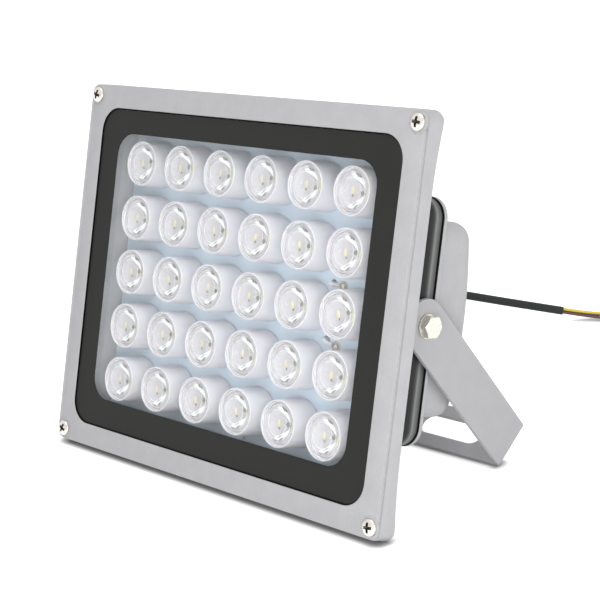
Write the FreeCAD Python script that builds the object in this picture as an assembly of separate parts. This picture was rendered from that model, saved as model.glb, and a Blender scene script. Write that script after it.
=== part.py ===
import FreeCAD, Part
import math
import os

V = FreeCAD.Vector

# LED floodlight: a lamp head that tilts in a U bracket. It stands on the head's lower edge and
# on the bracket's foot. All sizes are in millimetres and all angles in degrees.
# The head is modelled upright first: X to the right seen from the front, Y backwards from the
# front face, Z up the window. It is leaned back and set down when everything is built.

# Stance
head_lean = 18.41

# General fits
slide_gap = 0.1              # between pieces that drop into each other
thread_gap = 0.05            # between a screw and its tapped hole
turning_gap = 0.3            # between flat faces that turn against each other
pivot_clearance = 0.08       # radial, arm on bolt
tip_gap = 1.0                # between a screw's tip and the end of its hole
blind_wall = 1.0             # metal left at the end of a blind hole
cut_past = 1.0               # how far a cut runs past the face it opens

# Front frame
frame_width = 217.2
frame_height = 172.6
frame_depth = 6.7
frame_corner = 8.3
frame_skirt = 2.0            # wall that hangs over the lamp body's flange
frame_flare = 2.8            # extra depth of that wall at the corners
flare_run_side = 36.0        # how far from a corner it starts, up and down the sides
flare_run_top = 12.0         # and along the top and the bottom
frame_lip = 0.6              # thickness over the glass edge
border_side = 11.75          # frame's edge to the window opening, left and right
border_top = 11.1            # the same above and below
window_width = frame_width - 2 * border_side
window_height = frame_height - 2 * border_top
window_corner = 11.0
window_chamfer = 0.3
side_draft = 0.6
edge_width = 0.8             # outer edge to the groove
edge_drop = 0.4
groove_width = 1.0
groove_depth = 1.0
groove_wall = 0.6
bevel_width = 5.4
bevel_drop = 0.8
least_corner = 4.0
frame_pocket = 4.2           # hollow behind the bevel
frame_pocket_wall = 1.6      # between that hollow and the skirt
frame_web = 2.2              # frame thickness at that hollow
frame_screw_side = 6.1       # screw's middle from the frame's side
frame_screw_top = 5.65       # and from its top or bottom
frame_screw_x = frame_width / 2 - frame_screw_side
frame_screw_z = frame_height / 2 - frame_screw_top
screw_seat_radius = 4.6
screw_seat_depth = 0.4

# Glass and its rubber channel
glass_thickness = 3.0
glass_overlap = 0.75         # glass edge outside the window opening
channel_front = 0.4
channel_rear = 0.7
channel_wall = 1.3
channel_lip = 1.35           # rubber that shows inside the window opening

# Dark border printed on the front of the glass
print_side = 12.85           # window opening to the clear part, left and right
print_top = 11.4
print_bottom = 13.6
print_corner = 10.5
print_thickness = 0.1

# Lamp body
flange_thickness = 3.0
lug_radius = 4.9
lug_height = 0.7
chamber_side = 15.6          # frame's edge to the chamber's wall, left and right
chamber_top = 9.8            # the same above and below
chamber_width = frame_width - 2 * chamber_side
chamber_height = frame_height - 2 * chamber_top
chamber_corner = 10.0
chamber_wall = 2.5
chamber_back = 23.0          # back face of the chamber's rear wall
rear_wall = 2.8
fin_pitch = 9.0
fin_thickness = 2.0
fin_height = 7.0
fin_round = 5.0
fin_margin = 0.5
fin_zone = 27.8              # height kept free for the fins, above and below the rim
rim_side = 1.5               # chamber's side to the rim's
rim_width = chamber_width - 2 * rim_side
rim_height = chamber_height - 2 * fin_zone
rim_corner = 5.7
rim_wall = 3.0
rim_depth = 8.8
pivot_back = 1.5             # pivot axis behind the chamber's back face
pivot_depth = chamber_back + pivot_back
boss_margin = 0.9            # between the boss and the rim's end
boss_radius = rim_depth - pivot_back - boss_margin
boss_depth = 15.0
boss_reach = 3.2             # boss's end face outside the chamber's side

# LED board and lenses
board_gap = 0.5
board_inset = chamber_wall + board_gap
board_width = chamber_width - 2 * board_inset
board_height = chamber_height - 2 * board_inset
board_corner = chamber_corner - board_inset
board_thickness = 1.6
board_front = chamber_back - rear_wall - board_thickness
columns = 6
rows = 5
board_side = 21.75           # board's edge to the outer columns
board_top = 22.7             # board's edge to the outer rows
column_pitch = (board_width - 2 * board_side) / (columns - 1)
row_pitch = (board_height - 2 * board_top) / (rows - 1)
holder_gap = 1.9             # half the gap between neighbours
holder_taper = 0.45
holder_wall = 0.6
holder_base_radius = min(column_pitch, row_pitch) / 2 - holder_gap
holder_rim_radius = holder_base_radius - holder_taper
holder_bore = holder_rim_radius - holder_wall
holder_floor = 1.2
rim_round = 0.3
glass_gap = 0.2              # between the glass and the holders' rims
lens_radius = holder_bore - slide_gap
lens_sink = 0.9              # lens face below the holder's rim
lens_flange = 1.0
lens_foot_radius = 4.2
lens_foot_gap = 0.3          # between the lens's foot and the holder's floor
lens_recess_radius = 2.9
lens_recess_depth = 4.5
lens_foot_play = 0.4
holder_foot_hole = lens_foot_radius + lens_foot_play
chip_size = 3.6
chip_height = 0.9
chip_dome = 1.3
chip_facets = 3              # conical bands that make up the dome
board_screw_inset = 4.5
board_screw_x = board_width / 2 - board_screw_inset
board_screw_z = board_height / 2 - board_screw_inset
board_hole_x = 6.4
board_hole_bottom = 9.1      # small hole above the board's lower edge
board_hole_z = board_hole_bottom - board_height / 2
board_hole_radius = 0.9
board_boss_radius = 3.4
board_boss_height = 3.5

# Lead wires: each comes through the board at a hole and ends in a solder dome
lead_radius = 0.8
lead_rise = 2.6              # how far the wire stands off the board
lead_level = 0.6             # share of its way to the solder that it keeps that height
lead_run = 8.7               # from the driver's side to the hole
lead_column = (columns / 2 - 1) * column_pitch
lead_row = row_pitch / 2
# Distances in X and Z from the middle between four lenses
lead_offsets = [(-3.9, -1.7), (-4.2, -0.2)]
solder_offsets = [(2.1, -2.6), (1.6, -2.7)]
lead_holes = [(lead_column + across, side * lead_row + up)
              for side, (across, up) in zip((1, -1), lead_offsets)]
solder_spots = [(lead_column + across, side * lead_row + up)
                for side, (across, up) in zip((1, -1), solder_offsets)]
solder_radius = 1.7
solder_height = 1.3

# Rubber seal bead round the raised rim
bead_width = 3.0
bead_corner = rim_corner + bead_width
seal_land = 1.4              # flat rubber behind the bead
bead_length = rim_depth - seal_land
bead_groove = 0.7            # thickness of the rubber in the groove behind the bead
bead_gap = 2.8               # between the bead and the fins
# Share of the bead's width and of its length at each step of its outline
bead_steps = [(0.45, 0.0), (0.85, 0.16), (1.0, 0.4), (1.0, 0.68), (0.7, 0.9)]

# Driver cover
cover_overhang = 3.5         # flange outside the rim
cover_flange_width = rim_width + 2 * cover_overhang
cover_flange_height = rim_height + 2 * cover_overhang
cover_flange_corner = 9.0
cover_flange = 2.6
cover_flange_chamfer = 0.8
cover_side = 2.0             # flange's side to the box
cover_ledge = 9.7            # flange's top to the box
cover_low_ledge = 11.7       # flange's bottom to the box
cover_width = cover_flange_width - 2 * cover_side
cover_height = cover_flange_height - cover_ledge - cover_low_ledge
cover_rise = (cover_low_ledge - cover_ledge) / 2
cover_crown = 59.3
cover_dome = 190.0
cover_round = 8.0
cover_wall = 2.5
cover_boss_radius = 2.7      # screw boss inside the rim

# Cable gland on the cover's back
gland_side = 35.0            # cover's side to the gland
gland_rise = 0.9             # seat above the crown
gland_length = 11.3          # seat to the mouth of the cap
gland_x = gland_side - cover_width / 2
gland_seat = cover_crown + gland_rise
gland_end = gland_seat + gland_length
gland_seat_radius = 9.5
gland_hex = 15.0
gland_hex_height = 3.3
gland_thread = 5.9
gland_stub = 1.0             # thread that shows inside the cover
gland_neck = 5.5
gland_neck_height = 4.2
gland_bore = 3.4
gland_cap_hex = 13.6
gland_cap_skirt = 4.0
gland_cap_step = 0.3         # cap's round part inside its hexagon
gland_cap_round = 2.6
gland_mouth = 2.9

# Driver block
driver_from_gland = 12.0
driver_top = 18.5            # cover's top to the driver
driver_left = gland_x + driver_from_gland
driver_right = lead_holes[0][0] - lead_run
driver_height = cover_height + 2 * cover_rise - 2 * driver_top
driver_thickness = 20.0
driver_round = 3.0
ear_size = 9.0
ear_thickness = 3.0
ear_left = 16.0              # ear's middle from the block's left end
ear_right = 12.0             # and from its right end

# Screws: head radius, head height, shank radius
frame_screw = (3.6, 1.9, 2.0)
cover_screw = (2.8, 1.7, 1.5)
inner_screw = (2.7, 1.6, 1.5)
screw_cap_share = 0.55       # rounded part of a head's height
recess_share = 0.52          # cross recess reach as a share of the head's radius
recess_depth_share = 0.6
recess_width = 0.85
inner_screw_bite = 2.0       # thread in the rear wall
cover_screw_side = 15.0      # flange's side to the outer cover screws
cover_screw_gap = 0.6        # between their heads and the box
cover_screw_x = cover_flange_width / 2 - cover_screw_side
cover_screw_z = cover_height / 2 + cover_rise + cover_screw[0] + cover_screw_gap

# Pivot bolts and washers
bolt_radius = 3.0
bolt_hex = 9.0
bolt_head = 3.4
bolt_chamfer = 0.5
bolt_bite = 14.0             # thread in the boss
washer_radius = 5.1
washer_thickness = 0.9

# Bracket
arm_short = 2.3              # arm shorter than half the frame's height
arm_length = frame_height / 2 - arm_short      # pivot to the outside of the base
strip_width = 22.4
strip_thickness = 2.0
bend_inner = 0.5
bend_outer = 1.2
boss_face = chamber_width / 2 + boss_reach
bracket_span = 2 * (boss_face + turning_gap + strip_thickness)     # outside to outside of the arms
slot_length = 35.0
slot_width = 10.0
slot_side = 34.0             # arm's outside to the slot's middle
slot_middle = bracket_span / 2 - slot_side
centre_hole = 4.25

# Cable and cores
cable_radius = 2.2
core_radius = 0.75
core_ring = 1.05             # cores' distance from the cable's middle
strand_radius = 0.45
strand_length = 6.0
exit_run = 34.0              # straight run out of the gland
inner_cable_depth = 0.6      # where it enters the driver, as a share of the driver's thickness
bend_share = 0.45            # how much of its shorter run an arc may take
# The rest of the cable's route, and each core's, as they lie: X, Y, Z with the floor at Z = 0
cable_rest = [(-58.0, 113.4, 36.7), (-54.3, 143.7, 27.5), (-41.2, 162.4, 20.7),
              (-16.4, 181.4, 12.8), (7.0, 199.3, 5.8)]
core_turns = [90.0, 330.0, 210.0]
core_names = ["core_yellow_green", "core_brown", "core_blue"]
core_rest = [[(25.0, 211.4, 3.1), (36.5, 217.2, 1.6), (46.5, 221.5, 0.8)],
             [(24.5, 208.6, 1.9), (35.5, 212.8, 0.9), (45.5, 214.8, 0.8)],
             [(22.5, 212.8, 1.9), (31.5, 220.8, 0.9), (39.5, 229.6, 0.8)]]
core_first = 9.0             # straight run out of the sheath

glass_front = frame_lip + channel_front
seat_depth = glass_front + glass_thickness + channel_rear
holder_rim = glass_front + glass_thickness + glass_gap
cover_seat = chamber_back + rim_depth
nodes = {}


def rounded_wire(width, height, corner, depth):
    half_x = width / 2 - corner
    half_z = height / 2 - corner
    slant = corner * math.sqrt(0.5)
    edges = []
    last = None
    first = None
    for sign_x, sign_z in [(1, 1), (-1, 1), (-1, -1), (1, -1)]:
        centre = V(sign_x * half_x, depth, sign_z * half_z)
        side = centre + V(sign_x * corner, 0, 0)
        top = centre + V(0, 0, sign_z * corner)
        middle = centre + V(sign_x * slant, 0, sign_z * slant)
        start, end = (side, top) if sign_x == sign_z else (top, side)
        if last:
            edges.append(Part.LineSegment(last, start).toShape())
        edges.append(Part.Arc(start, middle, end).toShape())
        first = first or start
        last = end
    edges.append(Part.LineSegment(last, first).toShape())
    return Part.Wire(edges)


def rounded_plate(width, height, corner, front, back):
    face = Part.Face(rounded_wire(width, height, corner, front))
    return face.extrude(V(0, back - front, 0))


def layered(layers):
    wires = [rounded_wire(*layer) for layer in layers]
    return Part.makeLoft(wires, True, True)


def rod(radius, start, end):
    return Part.makeCylinder(radius, (end - start).Length, start, end - start)


def turned(outline):
    # Outline points are (radius, depth), turned about the Y axis
    points = [V(radius, depth, 0) for radius, depth in outline]
    face = Part.Face(Part.makePolygon(points + points[:1]))
    return face.revolve(V(0, 0, 0), V(0, 1, 0), 360)


def hex_prism(across_flats, start, end, point):
    # point is the direction of one corner of the hexagon, square to the prism's axis
    radius = across_flats / math.sqrt(3)
    axis = end - start
    corners = [start + FreeCAD.Rotation(axis, 60 * k).multVec(point * radius) for k in range(7)]
    return Part.Face(Part.makePolygon(corners)).extrude(axis)


def pan_screw(kind, length):
    # Head towards -Y with its seat at y = 0, shank along +Y
    head_radius, head_height, shank_radius = kind
    cap = head_height * screw_cap_share
    ball = (head_radius ** 2 + cap ** 2) / (2 * cap)
    half_way = head_radius / 2
    start = V(shank_radius, 0, 0)
    outer = V(head_radius, 0, 0)
    shoulder = V(head_radius, cap - head_height, 0)
    knee = V(half_way, ball - head_height - math.sqrt(ball ** 2 - half_way ** 2), 0)
    crown = V(0, -head_height, 0)
    tip = V(0, length, 0)
    shank_end = V(shank_radius, length, 0)
    outline = [Part.LineSegment(start, outer).toShape(),
               Part.LineSegment(outer, shoulder).toShape(),
               Part.Arc(shoulder, knee, crown).toShape(),
               Part.LineSegment(crown, tip).toShape(),
               Part.LineSegment(tip, shank_end).toShape(),
               Part.LineSegment(shank_end, start).toShape()]
    screw = Part.Face(Part.Wire(outline)).revolve(V(0, 0, 0), V(0, 1, 0), 360)
    reach = head_radius * recess_share
    depth = head_height * recess_depth_share
    for size_x, size_z in [(reach, recess_width / 2), (recess_width / 2, reach)]:
        slot = Part.makeBox(2 * size_x, head_height, 2 * size_z,
                            V(-size_x, depth - 2 * head_height, -size_z))
        screw = screw.cut(slot)
    return screw


def placed(shape, x, y, z, turn=0, axis=V(0, 0, 1)):
    copy = shape.copy()
    copy.rotate(V(0, 0, 0), axis, turn)
    copy.translate(V(x, y, z))
    return copy


def four_corners(x, z):
    return [(sign_x * x, sign_z * z) for sign_x in (1, -1) for sign_z in (1, -1)]


def tube(points, radius, label=None):
    # Straight runs with tangent arcs, each arc as large as its two runs allow
    last = points[0]
    edges = []
    radii = []
    for before, corner, after in zip(points, points[1:], points[2:]):
        back = before - corner
        ahead = after - corner
        turn = math.pi - back.getAngle(ahead)
        reach = bend_share * min(back.Length, ahead.Length)
        radii.append(reach / math.tan(turn / 2))
        unit_back = V(back).normalize()
        unit_ahead = V(ahead).normalize()
        start = corner + unit_back * reach
        end = corner + unit_ahead * reach
        bisector = (unit_back + unit_ahead).normalize()
        middle = corner + bisector * (radii[-1] / math.cos(turn / 2) - radii[-1])
        edges.append(Part.LineSegment(last, start).toShape())
        edges.append(Part.Arc(start, middle, end).toShape())
        last = end
    edges.append(Part.LineSegment(last, points[-1]).toShape())
    path = Part.Wire(edges)
    circle = Part.Wire(Part.makeCircle(radius, points[0], points[1] - points[0]))
    body = path.makePipeShell([circle], True, False)
    if label:
        length = sum(edge.Length for edge in path.Edges)
        share = body.Volume / (math.pi * radius ** 2 * length)
        print(label, "length", round(length, 1), "volume share", round(share, 4),
              "radii", [round(value, 1) for value in radii])
    return body


def frame_screw_spots():
    return four_corners(frame_screw_x, frame_screw_z)


def curved_back(width, height, run, turn):
    # Block that ends straight at the frame's depth and curves further back towards its two ends
    half = width / 2
    radius = (run ** 2 + frame_flare ** 2) / (2 * frame_flare)
    half_run = run / 2
    half_way = frame_depth + radius - math.sqrt(radius ** 2 - half_run ** 2)
    below = -height / 2
    flat = half - run
    deep = frame_depth + frame_flare
    edges = [Part.LineSegment(V(-half, -cut_past, below), V(-half, deep, below)).toShape(),
             Part.Arc(V(-half, deep, below), V(-flat - half_run, half_way, below),
                      V(-flat, frame_depth, below)).toShape(),
             Part.LineSegment(V(-flat, frame_depth, below), V(flat, frame_depth, below)).toShape(),
             Part.Arc(V(flat, frame_depth, below), V(flat + half_run, half_way, below),
                      V(half, deep, below)).toShape(),
             Part.LineSegment(V(half, deep, below), V(half, -cut_past, below)).toShape(),
             Part.LineSegment(V(half, -cut_past, below), V(-half, -cut_past, below)).toShape()]
    block = Part.Face(Part.Wire(edges)).extrude(V(0, 0, height))
    return placed(block, 0, 0, 0, turn, V(0, 1, 0))


def make_front_frame():
    groove_foot = edge_width + groove_width
    bevel_outer = groove_foot + groove_wall
    steps = [(0, frame_depth + frame_flare), (0, frame_depth), (side_draft, bevel_drop),
             (side_draft + edge_width, bevel_drop + edge_drop),
             (side_draft + groove_foot, bevel_drop + groove_depth),
             (side_draft + bevel_outer, bevel_drop),
             (side_draft + bevel_outer + bevel_width, 0)]
    layers = [(frame_width - 2 * inset, frame_height - 2 * inset,
               max(frame_corner - inset, least_corner), depth) for inset, depth in steps]
    frame = layered(layers)
    reach = 2 * (frame_width + frame_height)
    frame = frame.common(curved_back(frame_width, reach, flare_run_top, 0))
    frame = frame.common(curved_back(frame_height, reach, flare_run_side, 90))
    seat_limit = rounded_plate(frame_width - 2 * (side_draft + edge_width),
                               frame_height - 2 * (side_draft + edge_width),
                               frame_corner - side_draft - edge_width, 0, frame_depth)
    for x, z in frame_screw_spots():
        seat = rod(screw_seat_radius, V(x, screw_seat_depth, z), V(x, seat_depth, z)).common(seat_limit)
        frame = frame.fuse(seat)
        frame = frame.cut(rod(screw_seat_radius, V(x, -cut_past, z), V(x, screw_seat_depth, z)))
    frame = frame.cut(rounded_plate(window_width, window_height, window_corner,
                                    -cut_past, seat_depth + cut_past))
    chamfer = [(window_width + 2 * window_chamfer, window_height + 2 * window_chamfer,
                window_corner + window_chamfer, 0),
               (window_width, window_height, window_corner, window_chamfer)]
    frame = frame.cut(layered(chamfer))
    rebate = 2 * (glass_overlap + channel_wall + slide_gap)
    frame = frame.cut(rounded_plate(window_width + rebate, window_height + rebate,
                                    window_corner + rebate / 2, frame_lip, frame_depth + cut_past))
    recess = 2 * frame_skirt
    frame = frame.cut(rounded_plate(frame_width - recess, frame_height - recess,
                                    frame_corner - frame_skirt, seat_depth,
                                    frame_depth + frame_flare + cut_past))
    outer = recess + 2 * frame_pocket_wall
    inner = outer + 2 * frame_pocket
    pocket = rounded_plate(frame_width - outer, frame_height - outer, least_corner + frame_pocket,
                           frame_web, seat_depth)
    pocket = pocket.cut(rounded_plate(frame_width - inner, frame_height - inner, least_corner,
                                      frame_web, seat_depth))
    for x, z in frame_screw_spots():
        pocket = pocket.cut(rod(screw_seat_radius, V(x, 0, z), V(x, seat_depth, z)))
    frame = frame.cut(pocket)
    for x, z in frame_screw_spots():
        frame = frame.cut(rod(frame_screw[2] + slide_gap, V(x, -cut_past, z),
                              V(x, frame_depth + cut_past, z)))
    return frame.removeSplitter()


def make_glass_gasket():
    outer = 2 * (glass_overlap + channel_wall)
    slot = 2 * glass_overlap
    inner = 2 * channel_lip
    channel = rounded_plate(window_width + outer, window_height + outer, window_corner + outer / 2,
                            frame_lip, seat_depth)
    channel = channel.cut(rounded_plate(window_width + slot, window_height + slot,
                                        window_corner + slot / 2,
                                        glass_front, glass_front + glass_thickness))
    return channel.cut(rounded_plate(window_width - inner, window_height - inner,
                                     window_corner - channel_lip, 0, seat_depth + cut_past))


def make_glass():
    overlap = 2 * (glass_overlap - slide_gap)
    return rounded_plate(window_width + overlap, window_height + overlap, window_corner + overlap / 2,
                         glass_front, glass_front + glass_thickness)


def make_border_print():
    front = glass_front - print_thickness
    outer = 2 * (channel_lip + slide_gap)
    ring = rounded_plate(window_width - outer, window_height - outer, window_corner - outer / 2,
                         front, glass_front)
    clear = rounded_plate(window_width - 2 * print_side, window_height - print_top - print_bottom,
                          print_corner, front - cut_past, glass_front + cut_past)
    clear.translate(V(0, 0, (print_bottom - print_top) / 2))
    return ring.cut(clear)


def make_fin():
    # One fin above the middle, as a side outline across the lamp
    inner = rim_height / 2 + bead_width + bead_gap
    outer = chamber_height / 2 - fin_margin
    back = chamber_back + fin_height
    slant = fin_round * (1 - math.sqrt(0.5))
    root = chamber_back - rear_wall / 2
    half = fin_thickness / 2
    outline = [Part.LineSegment(V(-half, root, inner), V(-half, back, inner)).toShape(),
               Part.LineSegment(V(-half, back, inner), V(-half, back, outer - fin_round)).toShape(),
               Part.Arc(V(-half, back, outer - fin_round), V(-half, back - slant, outer - slant),
                        V(-half, back - fin_round, outer)).toShape(),
               Part.LineSegment(V(-half, back - fin_round, outer), V(-half, root, outer)).toShape(),
               Part.LineSegment(V(-half, root, outer), V(-half, root, inner)).toShape()]
    return Part.Face(Part.Wire(outline)).extrude(V(fin_thickness, 0, 0))


def make_lamp_body():
    flange_width = frame_width - 2 * (frame_skirt + slide_gap)
    flange_height = frame_height - 2 * (frame_skirt + slide_gap)
    flange_back = seat_depth + flange_thickness
    body = rounded_plate(flange_width, flange_height, frame_corner - frame_skirt - slide_gap,
                         seat_depth, flange_back)
    lug_limit = rounded_plate(flange_width, flange_height, frame_corner - frame_skirt - slide_gap,
                              seat_depth, chamber_back)
    for x, z in frame_screw_spots():
        lug = rod(lug_radius, V(x, frame_depth, z), V(x, flange_back + lug_height, z))
        body = body.fuse(lug.common(lug_limit))
    body = body.fuse(rounded_plate(chamber_width, chamber_height, chamber_corner,
                                   seat_depth, chamber_back))
    in_wall = chamber_back - rear_wall / 2
    body = body.fuse(rounded_plate(rim_width, rim_height, rim_corner, in_wall, cover_seat))
    body = body.cut(rounded_plate(rim_width - 2 * rim_wall, rim_height - 2 * rim_wall,
                                  rim_corner - rim_wall / 2, chamber_back, cover_seat + cut_past))
    for x, z in cover_screw_spots():
        body = body.fuse(rod(cover_boss_radius, V(x, in_wall, z), V(x, cover_seat, z)))

    fin_reach = chamber_width / 2 - chamber_corner / 2
    fin_count = 2 * int((fin_reach + fin_pitch / 2) // fin_pitch)
    fin = make_fin()
    fin_low = fin.mirror(V(0, 0, 0), V(0, 0, 1))
    fins = []
    for k in range(fin_count):
        x = (k - (fin_count - 1) / 2) * fin_pitch
        fins += [placed(fin, x, 0, 0), placed(fin_low, x, 0, 0)]
    body = body.fuse(fins)

    for x, z in four_corners(board_screw_x, board_screw_z):
        body = body.fuse(rod(board_boss_radius, V(x, in_wall, z),
                             V(x, chamber_back + board_boss_height, z)))
    for side in (1, -1):
        inner = V(side * (boss_face - boss_depth - bolt_radius), pivot_depth, 0)
        boss = rod(boss_radius, inner, V(side * boss_face, pivot_depth, 0))
        body = body.fuse(boss)
    inside = rounded_plate(chamber_width - 2 * chamber_wall, chamber_height - 2 * chamber_wall,
                           chamber_corner - chamber_wall, 0, chamber_back - rear_wall)
    body = body.cut(inside)
    for side in (1, -1):
        body = body.cut(rod(bolt_radius + thread_gap, V(side * (boss_face - boss_depth), pivot_depth, 0),
                            V(side * (boss_face + cut_past), pivot_depth, 0)))
    for x, z in frame_screw_spots():
        body = body.cut(rod(frame_screw[2] + thread_gap, V(x, 0, z), V(x, chamber_back, z)))
    for x, z in four_corners(board_screw_x, board_screw_z):
        body = body.cut(rod(inner_screw[2] + thread_gap, V(x, 0, z),
                            V(x, chamber_back + board_boss_height - blind_wall, z)))
    for x, z in lead_holes:
        body = body.cut(rod(2 * lead_radius, V(x, 0, z), V(x, chamber_back + cut_past, z)))
    for x, z in driver_ear_spots():
        body = body.cut(rod(inner_screw[2] + thread_gap,
                            V(x, chamber_back - inner_screw_bite - slide_gap, z),
                            V(x, chamber_back + cut_past, z)))
    for x, z in cover_screw_spots():
        body = body.cut(rod(cover_screw[2] + thread_gap, V(x, chamber_back, z),
                            V(x, cover_seat + cut_past, z)))
    return body.removeSplitter()


def cover_screw_spots():
    return four_corners(cover_screw_x, cover_screw_z) + [(0, cover_screw_z), (0, -cover_screw_z)]


def driver_ear_spots():
    reach = driver_height / 2 + ear_size / 2
    return [(driver_left + ear_left, reach), (driver_right - ear_right, -reach)]


def holder_spots():
    spots = []
    for row in range(rows):
        z = ((rows - 1) / 2 - row) * row_pitch
        for column in range(columns):
            spots.append((row + 1, column + 1, (column - (columns - 1) / 2) * column_pitch, z))
    return spots


def make_led_board():
    board = rounded_plate(board_width, board_height, board_corner,
                          board_front, board_front + board_thickness)
    holes = [(x, z, 2 * lead_radius) for x, z in lead_holes]
    holes += [(x, z, inner_screw[2] + slide_gap) for x, z in four_corners(board_screw_x, board_screw_z)]
    holes.append((board_hole_x, board_hole_z, board_hole_radius))
    for x, z, radius in holes:
        board = board.cut(rod(radius, V(x, 0, z), V(x, chamber_back, z)))
    return board


def make_holder():
    outline = [(holder_foot_hole, board_front), (holder_base_radius, board_front),
               (holder_rim_radius, holder_rim + rim_round), (holder_rim_radius - rim_round, holder_rim),
               (holder_bore, holder_rim + rim_round), (holder_bore, board_front - holder_floor),
               (holder_foot_hole, board_front - holder_floor)]
    return turned(outline)


def make_lens():
    face = holder_rim + lens_sink
    back = board_front - holder_floor - lens_foot_gap
    outline = [(0, face), (lens_radius, face), (lens_radius, face + lens_flange), (lens_foot_radius, back),
               (lens_recess_radius, back), (lens_recess_radius, back - lens_recess_depth),
               (0, back - lens_recess_depth)]
    return turned(outline)


def make_chip():
    half = chip_size / 2
    seat = board_front - chip_height
    base = Part.makeBox(chip_size, chip_height, chip_size, V(-half, seat, -half))
    outline = [(0, seat)]
    for k in range(chip_facets + 1):
        angle = math.radians(90 * k / chip_facets)
        outline.append((chip_dome * math.cos(angle), seat - chip_dome * math.sin(angle)))
    return base.fuse(turned(outline))


def make_solder():
    ball = (solder_radius ** 2 + solder_height ** 2) / (2 * solder_height)
    half_way = solder_radius / 2
    top = board_front - solder_height
    centre = V(0, board_front, 0)
    edge = V(solder_radius, board_front, 0)
    knee = V(half_way, top + ball - math.sqrt(ball ** 2 - half_way ** 2), 0)
    crown = V(0, top, 0)
    outline = [Part.LineSegment(centre, edge).toShape(), Part.Arc(edge, knee, crown).toShape(),
               Part.LineSegment(crown, centre).toShape()]
    dome = Part.Face(Part.Wire(outline)).revolve(V(0, 0, 0), V(0, 1, 0), 360)
    return Part.makeCompound([placed(dome, x, 0, z) for x, z in solder_spots])


def make_leads():
    # Each wire runs from the driver's end, through the board, over to its solder dome
    wires = []
    for (x, z), (end_x, end_z) in zip(lead_holes, solder_spots):
        inside = V(x, chamber_back + driver_thickness / 2, z)
        stand_off = V(x, board_front - lead_rise, z)
        across = V(end_x - x, 0, end_z - z).normalize()
        gap = V(end_x - x, 0, end_z - z).Length - solder_radius - lead_radius / 2
        over = stand_off + across * (gap * lead_level)
        landing = V(x, board_front - lead_radius - slide_gap, z) + across * gap
        start = V(driver_right, inside.y, z)
        wires.append(tube([start, inside, stand_off, over, landing], lead_radius))
    return Part.makeCompound(wires)


def make_driver_seal():
    inner_width = rim_width + 2 * slide_gap
    inner_height = rim_height + 2 * slide_gap
    layers = []
    for share, along in bead_steps + [(bead_groove / bead_width, 1.0)]:
        grow = 2 * share * bead_width
        layers.append((rim_width + grow, rim_height + grow, bead_corner - (1 - share) * bead_width,
                       chamber_back + along * bead_length))
    last = layers[-1]
    layers.append(last[:3] + (cover_seat - slide_gap,))
    seal = layered(layers)
    seal = seal.cut(rounded_plate(inner_width, inner_height, rim_corner + slide_gap,
                                  0, cover_seat + cut_past))
    for side in (1, -1):
        boss = rod(boss_radius + slide_gap, V(side * rim_width / 4, pivot_depth, 0),
                   V(side * frame_width / 2, pivot_depth, 0))
        seal = seal.cut(boss)
    return seal


def make_cover_core(shrink):
    # Block inside the cover's outer skin: the skin is this block grown by the edge rounding
    half_x = cover_width / 2 - shrink
    half_z = cover_height / 2 - shrink
    crown = cover_crown - shrink
    dome = cover_dome - shrink
    front = chamber_back
    edge = crown - dome + math.sqrt(dome ** 2 - half_z ** 2)
    outline = [Part.LineSegment(V(-half_x, front, -half_z), V(-half_x, edge, -half_z)).toShape(),
               Part.Arc(V(-half_x, edge, -half_z), V(-half_x, crown, 0),
                        V(-half_x, edge, half_z)).toShape(),
               Part.LineSegment(V(-half_x, edge, half_z), V(-half_x, front, half_z)).toShape(),
               Part.LineSegment(V(-half_x, front, half_z), V(-half_x, front, -half_z)).toShape()]
    core = Part.Face(Part.Wire(outline)).extrude(V(2 * half_x, 0, 0))
    core.translate(V(0, 0, cover_rise))
    return core


def make_driver_cover():
    core = make_cover_core(cover_round)
    reach = frame_width
    outside = Part.makeBox(2 * reach, reach, 2 * reach, V(-reach, cover_seat, -reach))
    skin = core.makeOffsetShape(cover_round, 0.001, False, False, 0, 0).common(outside)
    hollow = core.makeOffsetShape(cover_round - cover_wall, 0.001, False, False, 0, 0)
    flange_back = cover_seat + cover_flange
    flange = layered([(cover_flange_width, cover_flange_height, cover_flange_corner, cover_seat),
                      (cover_flange_width, cover_flange_height, cover_flange_corner,
                       flange_back - cover_flange_chamfer),
                      (cover_flange_width - 2 * cover_flange_chamfer,
                       cover_flange_height - 2 * cover_flange_chamfer,
                       cover_flange_corner - cover_flange_chamfer, flange_back)])
    seat = rod(gland_seat_radius, V(gland_x, cover_crown - cover_round, 0), V(gland_x, gland_seat, 0))
    cover = skin.fuse(flange).fuse(seat)
    cover = cover.cut(hollow)
    cover = cover.cut(rod(gland_thread + thread_gap, V(gland_x, cover_seat, 0),
                          V(gland_x, gland_seat + cut_past, 0)))
    for x, z in cover_screw_spots():
        cover = cover.cut(rod(cover_screw[2] + slide_gap, V(x, 0, z), V(x, flange_back + cut_past, z)))
    return cover.removeSplitter()


def make_driver():
    half = driver_height / 2
    block = rounded_plate(driver_right - driver_left, driver_height, driver_round,
                          chamber_back, chamber_back + driver_thickness)
    block.translate(V((driver_left + driver_right) / 2, 0, 0))
    for x, z in driver_ear_spots():
        low = half - driver_round if z > 0 else -half - ear_size
        ear = Part.makeBox(ear_size, ear_thickness, ear_size + driver_round,
                           V(x - ear_size / 2, chamber_back, low))
        block = block.fuse(ear)
        block = block.cut(rod(inner_screw[2] + slide_gap, V(x, 0, z),
                              V(x, chamber_back + driver_thickness, z)))
    return block.removeSplitter()


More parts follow.
